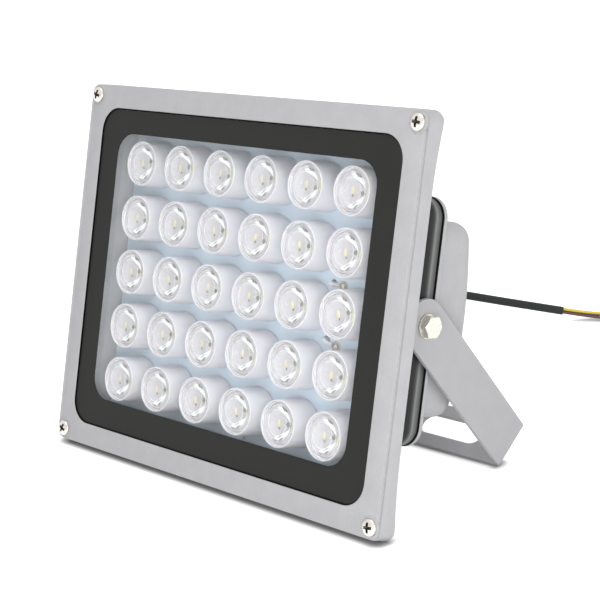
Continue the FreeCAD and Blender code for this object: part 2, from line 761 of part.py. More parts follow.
def make_gland_body():
    hex_back = gland_seat + gland_hex_height
    hexagon = hex_prism(gland_hex, V(gland_x, gland_seat, 0), V(gland_x, hex_back, 0), V(1, 0, 0))
    body = hexagon.fuse(rod(gland_thread, V(gland_x, cover_crown - cover_wall - gland_stub, 0),
                            V(gland_x, gland_seat, 0)))
    body = body.fuse(rod(gland_neck, V(gland_x, hex_back, 0), V(gland_x, hex_back + gland_neck_height, 0)))
    body = body.cut(rod(gland_bore, V(gland_x, 0, 0), V(gland_x, gland_end, 0)))
    return body


def make_gland_cap():
    hex_back = gland_seat + gland_hex_height + slide_gap
    skirt_back = hex_back + gland_cap_skirt
    dome_radius = gland_cap_hex / 2 - gland_cap_step
    round_inner = dome_radius - gland_cap_round
    round_start = gland_end - gland_cap_round
    slant = gland_cap_round * math.sqrt(0.5)
    outline = [Part.LineSegment(V(0, skirt_back, 0), V(dome_radius, skirt_back, 0)).toShape(),
               Part.LineSegment(V(dome_radius, skirt_back, 0), V(dome_radius, round_start, 0)).toShape(),
               Part.Arc(V(dome_radius, round_start, 0), V(round_inner + slant, round_start + slant, 0),
                        V(round_inner, gland_end, 0)).toShape(),
               Part.LineSegment(V(round_inner, gland_end, 0), V(0, gland_end, 0)).toShape(),
               Part.LineSegment(V(0, gland_end, 0), V(0, skirt_back, 0)).toShape()]
    dome = Part.Face(Part.Wire(outline)).revolve(V(0, 0, 0), V(0, 1, 0), 360)
    cap = hex_prism(gland_cap_hex, V(0, hex_back, 0), V(0, skirt_back, 0), V(1, 0, 0)).fuse(dome)
    neck_end = hex_back + gland_neck_height
    cap = cap.cut(rod(gland_neck + thread_gap, V(0, 0, 0), V(0, neck_end, 0)))
    cap = cap.cut(rod(gland_mouth, V(0, 0, 0), V(0, gland_end + cut_past, 0)))
    cap.translate(V(gland_x, 0, 0))
    return cap


def make_gland_seal():
    front = gland_seat + gland_hex_height / 2
    step = gland_seat + gland_hex_height + gland_neck_height
    seal = rod(gland_bore - thread_gap, V(gland_x, front, 0), V(gland_x, step, 0))
    seal = seal.fuse(rod(gland_mouth - thread_gap, V(gland_x, step, 0),
                         V(gland_x, gland_end - slide_gap, 0)))
    return seal.cut(rod(cable_radius + thread_gap, V(gland_x, 0, 0), V(gland_x, gland_end, 0)))


def make_inner_cable():
    depth = chamber_back + driver_thickness * inner_cable_depth
    return tube([V(gland_x, gland_end, 0), V(gland_x, depth, 0), V(driver_left, depth, 0)], cable_radius)


def make_bolt(side):
    head_face = bracket_span / 2 + slide_gap + washer_thickness
    radius = bolt_hex / math.sqrt(3)
    head = hex_prism(bolt_hex, V(0, 0, 0), V(bolt_head, 0, 0), V(0, 1, 0))
    outline = [V(0, 0, 0), V(0, radius, 0), V(bolt_head - bolt_chamfer, radius, 0),
               V(bolt_head, bolt_hex / 2 - bolt_chamfer, 0), V(bolt_head, 0, 0)]
    limit = Part.Face(Part.makePolygon(outline + outline[:1])).revolve(V(0, 0, 0), V(1, 0, 0), 360)
    head = head.common(limit)
    head.translate(V(head_face, 0, 0))
    bolt = head.fuse(rod(bolt_radius, V(boss_face - bolt_bite, 0, 0), V(head_face, 0, 0)))
    if side < 0:
        bolt = bolt.mirror(V(0, 0, 0), V(1, 0, 0))
    bolt.translate(V(0, pivot_depth, 0))
    return bolt


def make_washer(side):
    start = bracket_span / 2 + slide_gap
    inner = V(side * start, pivot_depth, 0)
    outer = V(side * (start + washer_thickness), pivot_depth, 0)
    return rod(washer_radius, inner, outer).cut(rod(bolt_radius + slide_gap, inner, outer))


def round_bottomed(half, bottom, corner):
    # Upright block as wide as the strip, from the pivot's height down, its two lower edges rounded
    slant = corner * (1 - math.sqrt(0.5))
    front = -strip_width / 2
    left_top = V(-half, front, 0)
    left_start = V(-half, front, bottom + corner)
    left_end = V(corner - half, front, bottom)
    right_start = V(half - corner, front, bottom)
    right_end = V(half, front, bottom + corner)
    right_top = V(half, front, 0)
    edges = [Part.LineSegment(left_top, left_start).toShape(),
             Part.Arc(left_start, V(slant - half, front, bottom + slant), left_end).toShape(),
             Part.LineSegment(left_end, right_start).toShape(),
             Part.Arc(right_start, V(half - slant, front, bottom + slant), right_end).toShape(),
             Part.LineSegment(right_end, right_top).toShape(),
             Part.LineSegment(right_top, left_top).toShape()]
    return Part.Face(Part.Wire(edges)).extrude(V(0, strip_width, 0))


def make_bracket():
    # Built hanging straight down from the pivot, which is at the origin
    half = bracket_span / 2
    inner_half = half - strip_thickness
    bracket = round_bottomed(half, -arm_length, bend_outer)
    bracket = bracket.cut(round_bottomed(inner_half, strip_thickness - arm_length, bend_inner))
    for side in (1, -1):
        bracket = bracket.fuse(rod(strip_width / 2, V(side * inner_half, 0, 0), V(side * half, 0, 0)))
    for side in (1, -1):
        bracket = bracket.cut(rod(bolt_radius + pivot_clearance, V(side * half / 2, 0, 0),
                                  V(side * (half + cut_past), 0, 0)))
    below = V(0, 0, -arm_length - cut_past)
    above = V(0, 0, -arm_length / 2)
    straight = slot_length - slot_width
    for side in (1, -1):
        middle = V(side * slot_middle, 0, 0)
        for end in (middle - V(straight / 2, 0, 0), middle + V(straight / 2, 0, 0)):
            bracket = bracket.cut(rod(slot_width / 2, end + below, end + above))
        corner = middle + below - V(straight / 2, slot_width / 2, 0)
        bracket = bracket.cut(Part.makeBox(straight, slot_width, arm_length / 2, corner))
    bracket = bracket.cut(rod(centre_hole, below, above))
    return bracket.removeSplitter()


def head_nodes():
    nodes["front_frame"] = make_front_frame()
    nodes["glass_gasket"] = make_glass_gasket()
    nodes["glass_pane"] = make_glass()
    nodes["border_print"] = make_border_print()
    nodes["lamp_body"] = make_lamp_body()
    nodes["led_board"] = make_led_board()
    holder = make_holder()
    lens = make_lens()
    chip = make_chip()
    for row, column, x, z in holder_spots():
        nodes["lens_holder_%d_%d" % (row, column)] = placed(holder, x, 0, z)
    nodes["lenses"] = Part.makeCompound([placed(lens, x, 0, z) for row, column, x, z in holder_spots()])
    nodes["led_chips"] = Part.makeCompound([placed(chip, x, 0, z) for row, column, x, z in holder_spots()])
    nodes["solder_joints"] = make_solder()
    nodes["led_leads"] = make_leads()
    screw = pan_screw(frame_screw, seat_depth + flange_thickness - screw_seat_depth)
    nodes["frame_screws"] = Part.makeCompound([placed(screw, x, screw_seat_depth, z)
                                               for x, z in frame_screw_spots()])
    screw = pan_screw(inner_screw, board_thickness + rear_wall + board_boss_height - blind_wall - tip_gap)
    nodes["board_screws"] = Part.makeCompound([placed(screw, x, board_front, z)
                                               for x, z in four_corners(board_screw_x, board_screw_z)])
    nodes["driver_seal"] = make_driver_seal()
    nodes["driver_cover"] = make_driver_cover()
    flange_back = cover_seat + cover_flange
    screw = pan_screw(cover_screw, cover_flange + rim_depth - tip_gap)
    nodes["cover_screws"] = Part.makeCompound([placed(screw, x, flange_back, z, 180, V(1, 0, 0))
                                               for x, z in cover_screw_spots()])
    nodes["driver"] = make_driver()
    screw = pan_screw(inner_screw, ear_thickness + inner_screw_bite)
    ear_back = chamber_back + ear_thickness
    nodes["driver_screws"] = Part.makeCompound([placed(screw, x, ear_back, z, 180, V(1, 0, 0))
                                                for x, z in driver_ear_spots()])
    nodes["gland_body"] = make_gland_body()
    nodes["gland_cap"] = make_gland_cap()
    nodes["gland_seal"] = make_gland_seal()
    nodes["inner_cable"] = make_inner_cable()
    nodes["pivot_bolt_right"] = make_bolt(1)
    nodes["pivot_bolt_left"] = make_bolt(-1)
    nodes["pivot_washer_right"] = make_washer(1)
    nodes["pivot_washer_left"] = make_washer(-1)


def stand_up():
    # Lean the head back until its lower back corners and the bracket's foot are on the floor
    turn = FreeCAD.Rotation(V(1, 0, 0), -head_lean)
    leaned = placed(nodes["front_frame"], 0, 0, 0, -head_lean, V(1, 0, 0))
    rise = -leaned.optimalBoundingBox(False, False).ZMin
    pivot = turn.multVec(V(0, pivot_depth, 0)) + V(0, 0, rise)
    reach = math.hypot(arm_length, strip_width / 2)
    drop = math.degrees(math.asin(pivot.z / reach) - math.atan2(strip_width / 2, arm_length))
    bracket = make_bracket()
    bracket.rotate(V(0, 0, 0), V(1, 0, 0), 90 - drop)
    bracket.translate(pivot)
    for name in nodes:
        nodes[name].rotate(V(0, 0, 0), V(1, 0, 0), -head_lean)
        nodes[name].translate(V(0, 0, rise))
    nodes["bracket"] = bracket
    lowest = min(vertex.Point.y for vertex in nodes["front_frame"].Vertexes)
    highest = max(vertex.Point.y for vertex in bracket.Vertexes)
    shift = V(0, -(lowest + highest) / 2, 0)
    for name in nodes:
        nodes[name].translate(shift)
    print("bracket below level", round(drop, 2), "pivot", pivot + shift)
    mouth = turn.multVec(V(gland_x, gland_end, 0)) + V(0, 0, rise) + shift
    return mouth, turn.multVec(V(0, 1, 0))


def cord_nodes(mouth, outwards):
    route = [mouth, mouth + outwards * exit_run] + [V(*point) for point in cable_rest]
    nodes["power_cable"] = tube(route, cable_radius, "power_cable")
    print("cable route", [tuple(round(value, 2) for value in point) for point in route])
    end = route[-1]
    along = (route[-1] - route[-2]).normalize()
    side = along.cross(V(0, 0, 1)).normalize()
    up = side.cross(along)
    strands = []
    for name, turn, rest in zip(core_names, core_turns, core_rest):
        angle = math.radians(turn)
        start = end + side * (core_ring * math.cos(angle)) + up * (core_ring * math.sin(angle))
        points = [start, start + along * core_first] + [V(*point) for point in rest]
        nodes[name] = tube(points, core_radius, name)
        print(name, "route", [tuple(round(value, 2) for value in point) for point in points])
        tip = (points[-1] - points[-2]).normalize() * strand_length
        strands.append(rod(strand_radius, points[-1], points[-1] + tip))
    nodes["core_ends"] = Part.makeCompound(strands)


def main():
    head_nodes()
    mouth, outwards = stand_up()
    cord_nodes(mouth, outwards)
    os.makedirs("parts", exist_ok=True)
    for name, shape in nodes.items():
        if not shape.isValid():
            print("not valid:", name)
        shape.exportStep("parts/%s.step" % name)
    print(len(nodes), "nodes written")


main()
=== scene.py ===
import math

import bmesh
import bpy
from mathutils import Matrix, Vector


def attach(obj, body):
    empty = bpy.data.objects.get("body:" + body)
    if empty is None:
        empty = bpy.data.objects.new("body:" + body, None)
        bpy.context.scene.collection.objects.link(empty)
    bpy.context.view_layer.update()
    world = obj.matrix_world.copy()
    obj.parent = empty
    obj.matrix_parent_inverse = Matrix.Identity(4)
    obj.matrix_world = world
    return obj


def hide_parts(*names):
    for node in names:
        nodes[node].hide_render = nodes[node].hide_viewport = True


# LED floodlight on a white sweep, in metres. The head is drawn upright (X right, Y back, Z up,
# from the middle of its front face) and leaned back at the end, as the castings are.

mm = 0.001
print("loading the packed frame")
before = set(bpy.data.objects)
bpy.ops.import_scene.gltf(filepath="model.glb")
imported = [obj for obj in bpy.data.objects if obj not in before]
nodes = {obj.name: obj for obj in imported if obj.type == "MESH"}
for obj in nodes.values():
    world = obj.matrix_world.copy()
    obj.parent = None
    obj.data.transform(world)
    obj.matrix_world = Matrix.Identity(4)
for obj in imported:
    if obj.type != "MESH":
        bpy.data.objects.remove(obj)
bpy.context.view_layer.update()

stance = {"lean": 18.41, "back": -26.1529, "rise": 84.0887}
leaned = (
    Matrix.Translation((0, stance["back"] * mm, stance["rise"] * mm))
    @ Matrix.Rotation(math.radians(-stance["lean"]), 4, "X")
)


# ---- node helpers

def spaced(key):
    # toMax becomes To Max, as the sockets are labelled
    return "".join(" " + letter if letter.isupper() else letter for letter in key).title()


def feed(tree, value, socket):
    # Another node's socket is linked, and anything else is set
    if isinstance(value, bpy.types.NodeSocket):
        tree.links.new(value, socket)
    else:
        socket.default_value = value


def mathNode(tree, operation, *values):
    node = tree.nodes.new("ShaderNodeMath")
    node.operation = operation
    for place, value in enumerate(values):
        feed(tree, value, node.inputs[place])
    return node.outputs[0]


def ranged(tree, value, **limits):
    node = tree.nodes.new("ShaderNodeMapRange")
    feed(tree, value, node.inputs["Value"])
    for limit, number in limits.items():
        node.inputs[spaced(limit)].default_value = number
    return node.outputs["Result"]


def blended(tree, share, first, second):
    node = tree.nodes.new("ShaderNodeMix")
    node.data_type = "RGBA"
    for label, value in (("Factor", share), ("A", first), ("B", second)):
        feed(tree, value, node.inputs[label])
    return node.outputs["Result"]


def noise(tree, spot, scale, detail=2):
    node = tree.nodes.new("ShaderNodeTexNoise")
    node.inputs["Detail"].default_value = detail
    feed(tree, spot, node.inputs["Vector"])
    feed(tree, scale, node.inputs["Scale"])
    return node.outputs["Fac"]


def seenDirectly(tree):
    # 1 for camera, glossy and transmission rays, 0 for the rays that light the object
    rays = tree.nodes.new("ShaderNodeLightPath")
    seen = rays.outputs["Is Camera Ray"]
    for kind in ("Is Glossy Ray", "Is Transmission Ray"):
        seen = mathNode(tree, "MAXIMUM", seen, rays.outputs[kind])
    return seen


# ---- camera, light and floor

def makeCamera():
    settings = {
        "place": (539.9, -466.953, 295.189),
        "right": (0.6914, 0.7129, -0.1172),
        "up": (-0.1395, 0.2909, 0.9465),
        "back": (0.7089, -0.6381, 0.3005),
        "lens": 99.96,
        "sensor": 36.0,
    }
    data = bpy.data.cameras.new("camera")
    data.lens = settings["lens"]
    data.sensor_width = settings["sensor"]
    data.clip_start = 0.01
    data.clip_end = 50
    camera = asObject("camera", data)
    turn = Matrix((settings["right"], settings["up"], settings["back"])).transposed().to_4x4()
    camera.matrix_world = Matrix.Translation(Vector(settings["place"]) * mm) @ turn
    bpy.context.scene.camera = camera


def makeLights():
    settings = {
        "ambient": 0.61,
        "lamps": [
            # name, place, aim, size, watts
            ("rightSoftbox", (1.35, 0.05, 0.2), (0.05, 0.0, 0.08), 0.9, 2.6),
            ("topSoftbox", (0.1, -0.2, 1.5), (0.0, 0.0, 0.08), 0.9, 5.4),
            ("frontSoftbox", (0.5, -0.5, 0.1), (0.05, 0.0, 0.08), 0.4, 2.4),
        ],
    }
    world = bpy.data.worlds.new("studio")
    bpy.context.scene.world = world
    world.use_nodes = True
    tree = world.node_tree
    tree.nodes.clear()
    background = tree.nodes.new("ShaderNodeBackground")
    background.inputs["Color"].default_value = (1, 1, 1, 1)
    level = ranged(tree, seenDirectly(tree), toMin=settings["ambient"])
    tree.links.new(level, background.inputs["Strength"])
    output = tree.nodes.new("ShaderNodeOutputWorld")
    tree.links.new(background.outputs["Background"], output.inputs["Surface"])
    for name, place, aim, size, watts in settings["lamps"]:
        data = bpy.data.lights.new(name, "AREA")
        data.shape = "SQUARE"
        data.size = size
        data.energy = watts
        lamp = asObject(name, data)
        lamp.location = place
        lamp.rotation_mode = "QUATERNION"
        lamp.rotation_quaternion = (Vector(aim) - Vector(place)).to_track_quat("-Z", "Y")


def makeFloor():
    # The camera sees it white, but for the tight shadow where something stands on it, which is
    # partly painted shadow from ambient occlusion
    settings = {"half": 6.0, "below": 0.00002, "shade": 0.88, "contactShade": 0.33,
                "contact": 0.004, "sharpness": 2.5, "glow": 0.66, "roughness": 0.2}
    half = settings["half"]
    mesh = bpy.data.meshes.new("floor")
    corners = [(-half, -half), (half, -half), (half, half), (-half, half)]
    mesh.from_pydata([(x, y, -settings["below"]) for x, y in corners], [], [(0, 1, 2, 3)])
    material, tree, shader = newMaterial("floorWhite")
    shader.inputs["Roughness"].default_value = settings["roughness"]
    shader.inputs["Emission Color"].default_value = (1, 1, 1, 1)
    gap = tree.nodes.new("ShaderNodeAmbientOcclusion")
    gap.inputs["Distance"].default_value = settings["contact"]
    clear = mathNode(tree, "POWER", gap.outputs["AO"], settings["sharpness"])
    # Painted shadow: ambient occlusion darkens the colour and takes away the glow where something
    # stands close
    tone = ranged(tree, clear, toMin=settings["contactShade"], toMax=settings["shade"])
    tree.links.new(tone, shader.inputs["Base Color"])
    shown = mathNode(tree, "MULTIPLY", seenDirectly(tree), clear)
    tree.links.new(ranged(tree, shown, toMax=settings["glow"]), shader.inputs["Emission Strength"])
    asObject("floor", mesh, material)


# ---- materials

def makeGroup(name, scales, pattern, contrast, depth):
    # Two colours, the roughness and the relief from one pattern; scales are its own sockets
    group = bpy.data.node_groups.new(name, "ShaderNodeTree")
    sockets = {"Light": (0.8, 0.8, 0.8, 1), "Dark": (0.7, 0.7, 0.7, 1), **scales,
               "Roughness": 0.4, "Spread": 0.1, "Relief": 0.2}
    for label, value in sockets.items():
        kind = "NodeSocketColor" if isinstance(value, tuple) else "NodeSocketFloat"
        group.interface.new_socket(label, in_out="INPUT", socket_type=kind).default_value = value
    for label, kind in (("Color", "Color"), ("Roughness", "Float"), ("Normal", "Vector")):
        group.interface.new_socket(label, in_out="OUTPUT", socket_type="NodeSocket" + kind)
    given, out = group.nodes.new("NodeGroupInput"), group.nodes.new("NodeGroupOutput")
    spot = group.nodes.new("ShaderNodeTexCoord").outputs["Object"]
    tone, height = pattern(group, given, spot)
    share = ranged(group, tone, fromMin=contrast[0], fromMax=contrast[1])
    bump = group.nodes.new("ShaderNodeBump")
    bump.inputs["Distance"].default_value = depth
    feed(group, given.outputs["Relief"], bump.inputs["Strength"])
    feed(group, height, bump.inputs["Height"])
    results = {
        "Color": blended(group, share, given.outputs["Dark"], given.outputs["Light"]),
        "Roughness": mathNode(group, "MULTIPLY_ADD", share, given.outputs["Spread"],
                              given.outputs["Roughness"]),
        "Normal": bump.outputs["Normal"],
    }
    for label, result in results.items():
        feed(group, result, out.inputs[label])
    return group


def grainPattern(group, given, spot):
    # For paint, rubber and plastic: fine grain over faint clouds
    share = {"grain": 0.6, "cloud": 0.4}
    grain = noise(group, spot, given.outputs["Grain Scale"], 3)
    cloud = noise(group, spot, given.outputs["Cloud Scale"])
    cloud = mathNode(group, "MULTIPLY", cloud, share["cloud"])
    return mathNode(group, "MULTIPLY_ADD", grain, share["grain"], cloud), grain


def turnedPattern(group, given, spot):
    # Faint turning marks for plated steel: noise drawn out along one direction
    drawnOut = (900, 300, 4200)
    stretch = group.nodes.new("ShaderNodeMapping")
    stretch.inputs["Rotation"].default_value = (math.radians(stance["lean"]), 0, 0)
    stretch.inputs["Scale"].default_value = drawnOut
    feed(group, spot, stretch.inputs["Vector"])
    marks = noise(group, stretch.outputs["Vector"], 1, 4)
    return marks, marks


def shaderOf(material):
    return material.node_tree, material.node_tree.nodes["Principled BSDF"]


def newMaterial(name):
    material = bpy.data.materials.new(name)
    material.use_nodes = True
    return (material, *shaderOf(material))


def surface(name, group, plain, **varied):
    # A Principled material fed by one of the groups; plain values sit on the shader's own sockets
    material, tree, shader = newMaterial(name)
    for socket, value in plain.items():
        shader.inputs[socket].default_value = value
    source = tree.nodes.new("ShaderNodeGroup")
    source.node_tree = group
    for socket, value in varied.items():
        value = value if isinstance(value, float) else (*value, 1)
        source.inputs[spaced(socket)].default_value = value
    tree.links.new(source.outputs["Color"], shader.inputs["Base Color"])
    for result in ("Roughness", "Normal"):
        tree.links.new(source.outputs[result], shader.inputs[result])
    return material


def lightPasses(material):
    # Clear things let the lamps' light straight through
    tree, shader = shaderOf(material)
    rays = tree.nodes.new("ShaderNodeLightPath")
    through = tree.nodes.new("ShaderNodeBsdfTransparent")
    mix = tree.nodes.new("ShaderNodeMixShader")
    tree.links.new(rays.outputs["Is Shadow Ray"], mix.inputs["Fac"])
    tree.links.new(shader.outputs["BSDF"], mix.inputs[1])
    tree.links.new(through.outputs["BSDF"], mix.inputs[2])
    tree.links.new(mix.outputs["Shader"], tree.nodes["Material Output"].inputs["Surface"])


def clearMaterial(name, tint, ior, rough, haze, clear=1.0):
    # Clear glass or plastic, with a very faint uneven gloss
    material, tree, shader = newMaterial(name)
    shader.inputs["Base Color"].default_value = (*tint, 1)
    shader.inputs["Transmission Weight"].default_value = clear
    shader.inputs["IOR"].default_value = ior
    film = noise(tree, tree.nodes.new("ShaderNodeTexCoord").outputs["Object"], haze)
    tree.links.new(ranged(tree, film, toMax=rough), shader.inputs["Roughness"])
    lightPasses(material)
    return material


def makeCoreStripe(material, stripe):
    # The green stripe runs along the yellow core, on the curve's own UV
    tree, shader = shaderOf(material)
    old = shader.inputs["Base Color"].links[0].from_socket
    spot = tree.nodes.new("ShaderNodeUVMap")
    split = tree.nodes.new("ShaderNodeSeparateXYZ")
    tree.links.new(spot.outputs["UV"], split.inputs["Vector"])
    near = mathNode(tree, "COMPARE", split.outputs["X"], stripe["middle"], stripe["half"])
    color = blended(tree, near, old, (*stripe["color"], 1))
    tree.links.new(color, shader.inputs["Base Color"])


def makeSealPaintedHighlight(material, highlightBand):
    # Painted highlight and shade: rubber coloured paler along the bead's crest and darker at its
    # front and rear edges, by depth behind the head's front
    tree, shader = shaderOf(material)
    spot = tree.nodes.new("ShaderNodeTexCoord")
    depth = tree.nodes.new("ShaderNodeVectorMath")
    depth.operation = "DOT_PRODUCT"
    lean = math.radians(stance["lean"])
    depth.inputs[1].default_value = (0, math.cos(lean), -math.sin(lean))
    tree.links.new(spot.outputs["Object"], depth.inputs[0])
    back = stance["back"] * math.cos(lean) - stance["rise"] * math.sin(lean)
    share = ranged(tree, depth.outputs["Value"], fromMin=(highlightBand["front"] + back) * mm,
                   fromMax=(highlightBand["rear"] + back) * mm)
    ramp = tree.nodes.new("ShaderNodeValToRGB")
    steps = ramp.color_ramp.elements
    while len(steps) < len(highlightBand["steps"]):
        steps.new(0.5)
    for step, (place, value) in zip(steps, highlightBand["steps"]):
        step.position = place
        step.color = (*(value * part for part in highlightBand["tint"]), 1)
    tree.links.new(share, ramp.inputs["Fac"])
    tree.links.new(ramp.outputs["Color"], shader.inputs["Base Color"])


def shine(level):
    return {"Specular IOR Level": level}


def makeMaterials():
    grain = makeGroup("fineGrain", {"Grain Scale": 2600.0, "Cloud Scale": 120.0}, grainPattern,
                      (0.36, 0.64), 0.00005)
    marks = makeGroup("turningMarks", {}, turnedPattern, (0.32, 0.68), 0.00003)
    metal = {"Metallic": 1.0}
    softLight = {"Subsurface Weight": 0.15, "Subsurface Scale": 0.002}
    # A glow for the painted highlights inside the lenses, which are no lamp
    paintedGlow = {"Emission Color": (1, 1, 1, 1), "Emission Strength": 0.22}
    rows = {
        # group, light, dark, (roughness, spread, relief, grain scale of its own), plain sockets
        "castingPaint": (grain, (0.535, 0.535, 0.548), (0.475, 0.475, 0.488), (0.42, 0.12, 0.35),
                         shine(0.35)),
        "stripPaint": (grain, (0.5, 0.5, 0.513), (0.455, 0.455, 0.468), (0.42, 0.1, 0.25),
                       shine(0.35)),
        "blackRubber": (grain, (0.022, 0.023, 0.023), (0.014, 0.014, 0.014), (0.26, 0.12, 0.08),
                        shine(0.5)),
        "gasketRubber": (grain, (0.006, 0.006, 0.006), (0.003, 0.003, 0.003), (0.6, 0.1, 0.05),
                         shine(0.05)),
        "borderPrint": (grain, (0.024, 0.025, 0.023), (0.019, 0.02, 0.018), (0.5, 0.1, 0.05),
                        shine(0.2)),
        "boardCoat": (grain, (0.6, 0.695, 0.79), (0.575, 0.67, 0.77), (0.3, 0.1, 0.04, 900.0),
                      shine(0.4)),
        "holderPlastic": (grain, (0.735, 0.72, 0.76), (0.7, 0.685, 0.725), (0.36, 0.08, 0.06),
                          {**shine(0.5), **softLight}),
        "chipCeramic": (grain, (0.85, 0.85, 0.83), (0.78, 0.78, 0.75), (0.5, 0.1, 0.1), {}),
        "chipPhosphor": (grain, (0.95, 0.74, 0.2), (0.9, 0.66, 0.14), (0.5, 0.1, 0.1), {}),
        # Painted light inside the lenses, down to chipShade: the chip's image, glowing highlights,
        # a reflection sheet, a yellow crescent and painted shade
        "chipCream": (grain, (0.95, 0.9, 0.68), (0.9, 0.82, 0.55), (0.4, 0.1, 0.05), {}),
        "sparkWhite": (grain, (0.99, 0.99, 0.99), (0.96, 0.96, 0.96), (0.12, 0.1, 0.02),
                       {"Metallic": 0.9, **paintedGlow}),
        "lensMirror": (grain, (0.83, 0.81, 0.85), (0.7, 0.68, 0.72), (0.3, 0.2, 0.1, 700.0),
                       {"Metallic": 0.4}),
        "crescentYellow": (grain, (0.96, 0.95, 0.6), (0.93, 0.9, 0.4), (0.3, 0.1, 0.05), {}),
        "chipShade": (grain, (0.3, 0.3, 0.28), (0.2, 0.2, 0.18), (0.4, 0.1, 0.05), {}),
        "solder": (marks, (0.72, 0.72, 0.71), (0.45, 0.45, 0.44), (0.16, 0.2, 0.3), metal),
        "flux": (grain, (0.6, 0.5, 0.33), (0.42, 0.34, 0.2), (0.25, 0.2, 0.2),
                 {"Coat Weight": 0.5}),
        "whiteWire": (grain, (0.72, 0.72, 0.72), (0.62, 0.62, 0.62), (0.45, 0.1, 0.1), {}),
        "nickelScrew": (marks, (0.86, 0.82, 0.76), (0.7, 0.66, 0.6), (0.2, 0.16, 0.12), metal),
        "nickelBolt": (marks, (0.82, 0.79, 0.72), (0.62, 0.59, 0.52), (0.22, 0.16, 0.2), metal),
        "recessShade": (marks, (0.1, 0.085, 0.07), (0.04, 0.034, 0.03), (0.4, 0.2, 0.2), metal),
        "driverCase": (grain, (0.42, 0.44, 0.45), (0.34, 0.36, 0.37), (0.4, 0.15, 0.2),
                       {"Metallic": 0.6}),
        "blackNylon": (grain, (0.03, 0.03, 0.032), (0.02, 0.02, 0.022), (0.42, 0.12, 0.3), {}),
        "cableSheath": (grain, (0.03, 0.034, 0.033), (0.022, 0.025, 0.024), (0.5, 0.1, 0.12),
                        shine(0.25)),
        "coreYellow": (grain, (0.87, 0.64, 0.06), (0.82, 0.6, 0.05), (0.35, 0.1, 0.05), {}),
        "coreBrown": (grain, (0.15, 0.06, 0.035), (0.11, 0.045, 0.028), (0.35, 0.1, 0.05), {}),
        "coreBlue": (grain, (0.02, 0.09, 0.4), (0.015, 0.07, 0.34), (0.35, 0.1, 0.05), {}),
        "copper": (marks, (0.83, 0.47, 0.3), (0.6, 0.32, 0.2), (0.25, 0.2, 0.3), metal),
    }
    made = {}
    for name, (group, light, dark, finish, plain) in rows.items():
        values = dict(zip(("roughness", "spread", "relief", "grainScale"), finish))
        made[name] = surface(name, group, plain, light=light, dark=dark, **values)
    made["sealRubber"] = surface("sealRubber", grain, shine(0.25),
                                 roughness=0.4, spread=0.1, relief=0.08)
    # The seal's sheen is painted into its colour: a pale band on the crest, painted shade at both
    # edges
    makeSealPaintedHighlight(made["sealRubber"], {
        "front": 23.0, "rear": 31.7, "tint": (1, 1.03, 1.02),
        "steps": [(0.0, 0.008), (0.3, 0.025), (0.42, 0.09), (0.53, 0.26), (0.66, 0.16),
                  (0.88, 0.07), (0.94, 0.003)]})
    makeCoreStripe(made["coreYellow"], {"middle": 0.62, "half": 0.17, "color": (0.03, 0.3, 0.07)})
    made["windowGlass"] = clearMaterial("windowGlass", (0.975, 0.99, 0.985), 1.45, 0.004, 60.0)
    made["clearLens"] = clearMaterial("clearLens", (0.985, 0.985, 0.99), 1.49, 0.02, 400.0, 0.94)
    made["lensCone"] = clearMaterial("lensCone", (0.965, 0.95, 0.98), 1.49, 0.04, 400.0, 0.62)
    made["chipDome"] = clearMaterial("chipDome", (0.99, 0.985, 0.96), 1.41, 0.02, 400.0)
    return made


# ---- mesh helpers, in millimetres until a piece is placed

def roundedLoop(width, height, corner, depth, steps):
    points = []
    for quarter in range(4):
        sideX = 1 if quarter in (0, 3) else -1
        sideZ = 1 if quarter in (0, 1) else -1
        for k in range(steps + 1):
            angle = math.radians(90 * (quarter + k / steps))
            points.append(Vector((sideX * (width / 2 - corner) + corner * math.cos(angle), depth,
                                  sideZ * (height / 2 - corner) + corner * math.sin(angle))))
    return points


def bridged(body, loops, joined=False):
    # Loops of equal count; joined closes the last onto the first, else both ends are capped
    rings = [[body.verts.new(point) for point in loop] for loop in loops]
    pairs = list(zip(rings, rings[1:]))
    faces = []
    if joined:
        pairs.append((rings[-1], rings[0]))
    else:
        faces = [body.faces.new(rings[0]), body.faces.new(rings[-1])]
    for one, two in pairs:
        for k in range(len(one)):
            follow = (k + 1) % len(one)
            faces.append(body.faces.new((one[k], one[follow], two[follow], two[k])))
    return faces


def loopedMesh(name, loops, joined=False):
    body = bmesh.new()
    bridged(body, loops, joined)
    return closedMesh(name, body)


def lathe(name, outline, segments):
    # Outline points are (radius, depth) about the Y axis; a radius of 0 is a pole
    body = bmesh.new()
    rings = []
    turns = [2 * math.pi * k / segments for k in range(segments)]
    for radius, depth in outline:
        angles = turns if radius else [0]
        rings.append([body.verts.new((radius * math.cos(a), depth, radius * math.sin(a)))
                      for a in angles])
    pairs = list(zip(rings, rings[1:]))
    if len(rings[0]) > 1:
        pairs.append((rings[-1], rings[0]))
    for one, two in pairs:
        for k in range(segments):
            follow = (k + 1) % segments
            corners = [one[k % len(one)], one[follow % len(one)],
                       two[follow % len(two)], two[k % len(two)]]
            corners = [c for i, c in enumerate(corners) if c not in corners[:i]]
            if len(corners) > 2:
                body.faces.new(corners)
    return closedMesh(name, body)


def closedMesh(name, body):
    bmesh.ops.recalc_face_normals(body, faces=body.faces)
    return meshOf(name, body)


def meshOf(name, body):
    mesh = bpy.data.meshes.new(name)
    body.to_mesh(mesh)
    body.free()
    return mesh


def addPart(body, part, index):
    # Another mesh joins the body, with one material place for all its faces
    for polygon in part.polygons:
        polygon.material_index = index
    body.from_mesh(part)


def withFinishes(mesh, names, materials):
    finishes = [materials[name] for name in names]
    for finish in finishes:
        mesh.materials.append(finish)
    return finishes


def asObject(name, data, finish=None):
    piece = bpy.data.objects.new(name, data)
    bpy.context.scene.collection.objects.link(piece)
    if finish:
        data.materials.clear()
        data.materials.append(finish)
    return piece


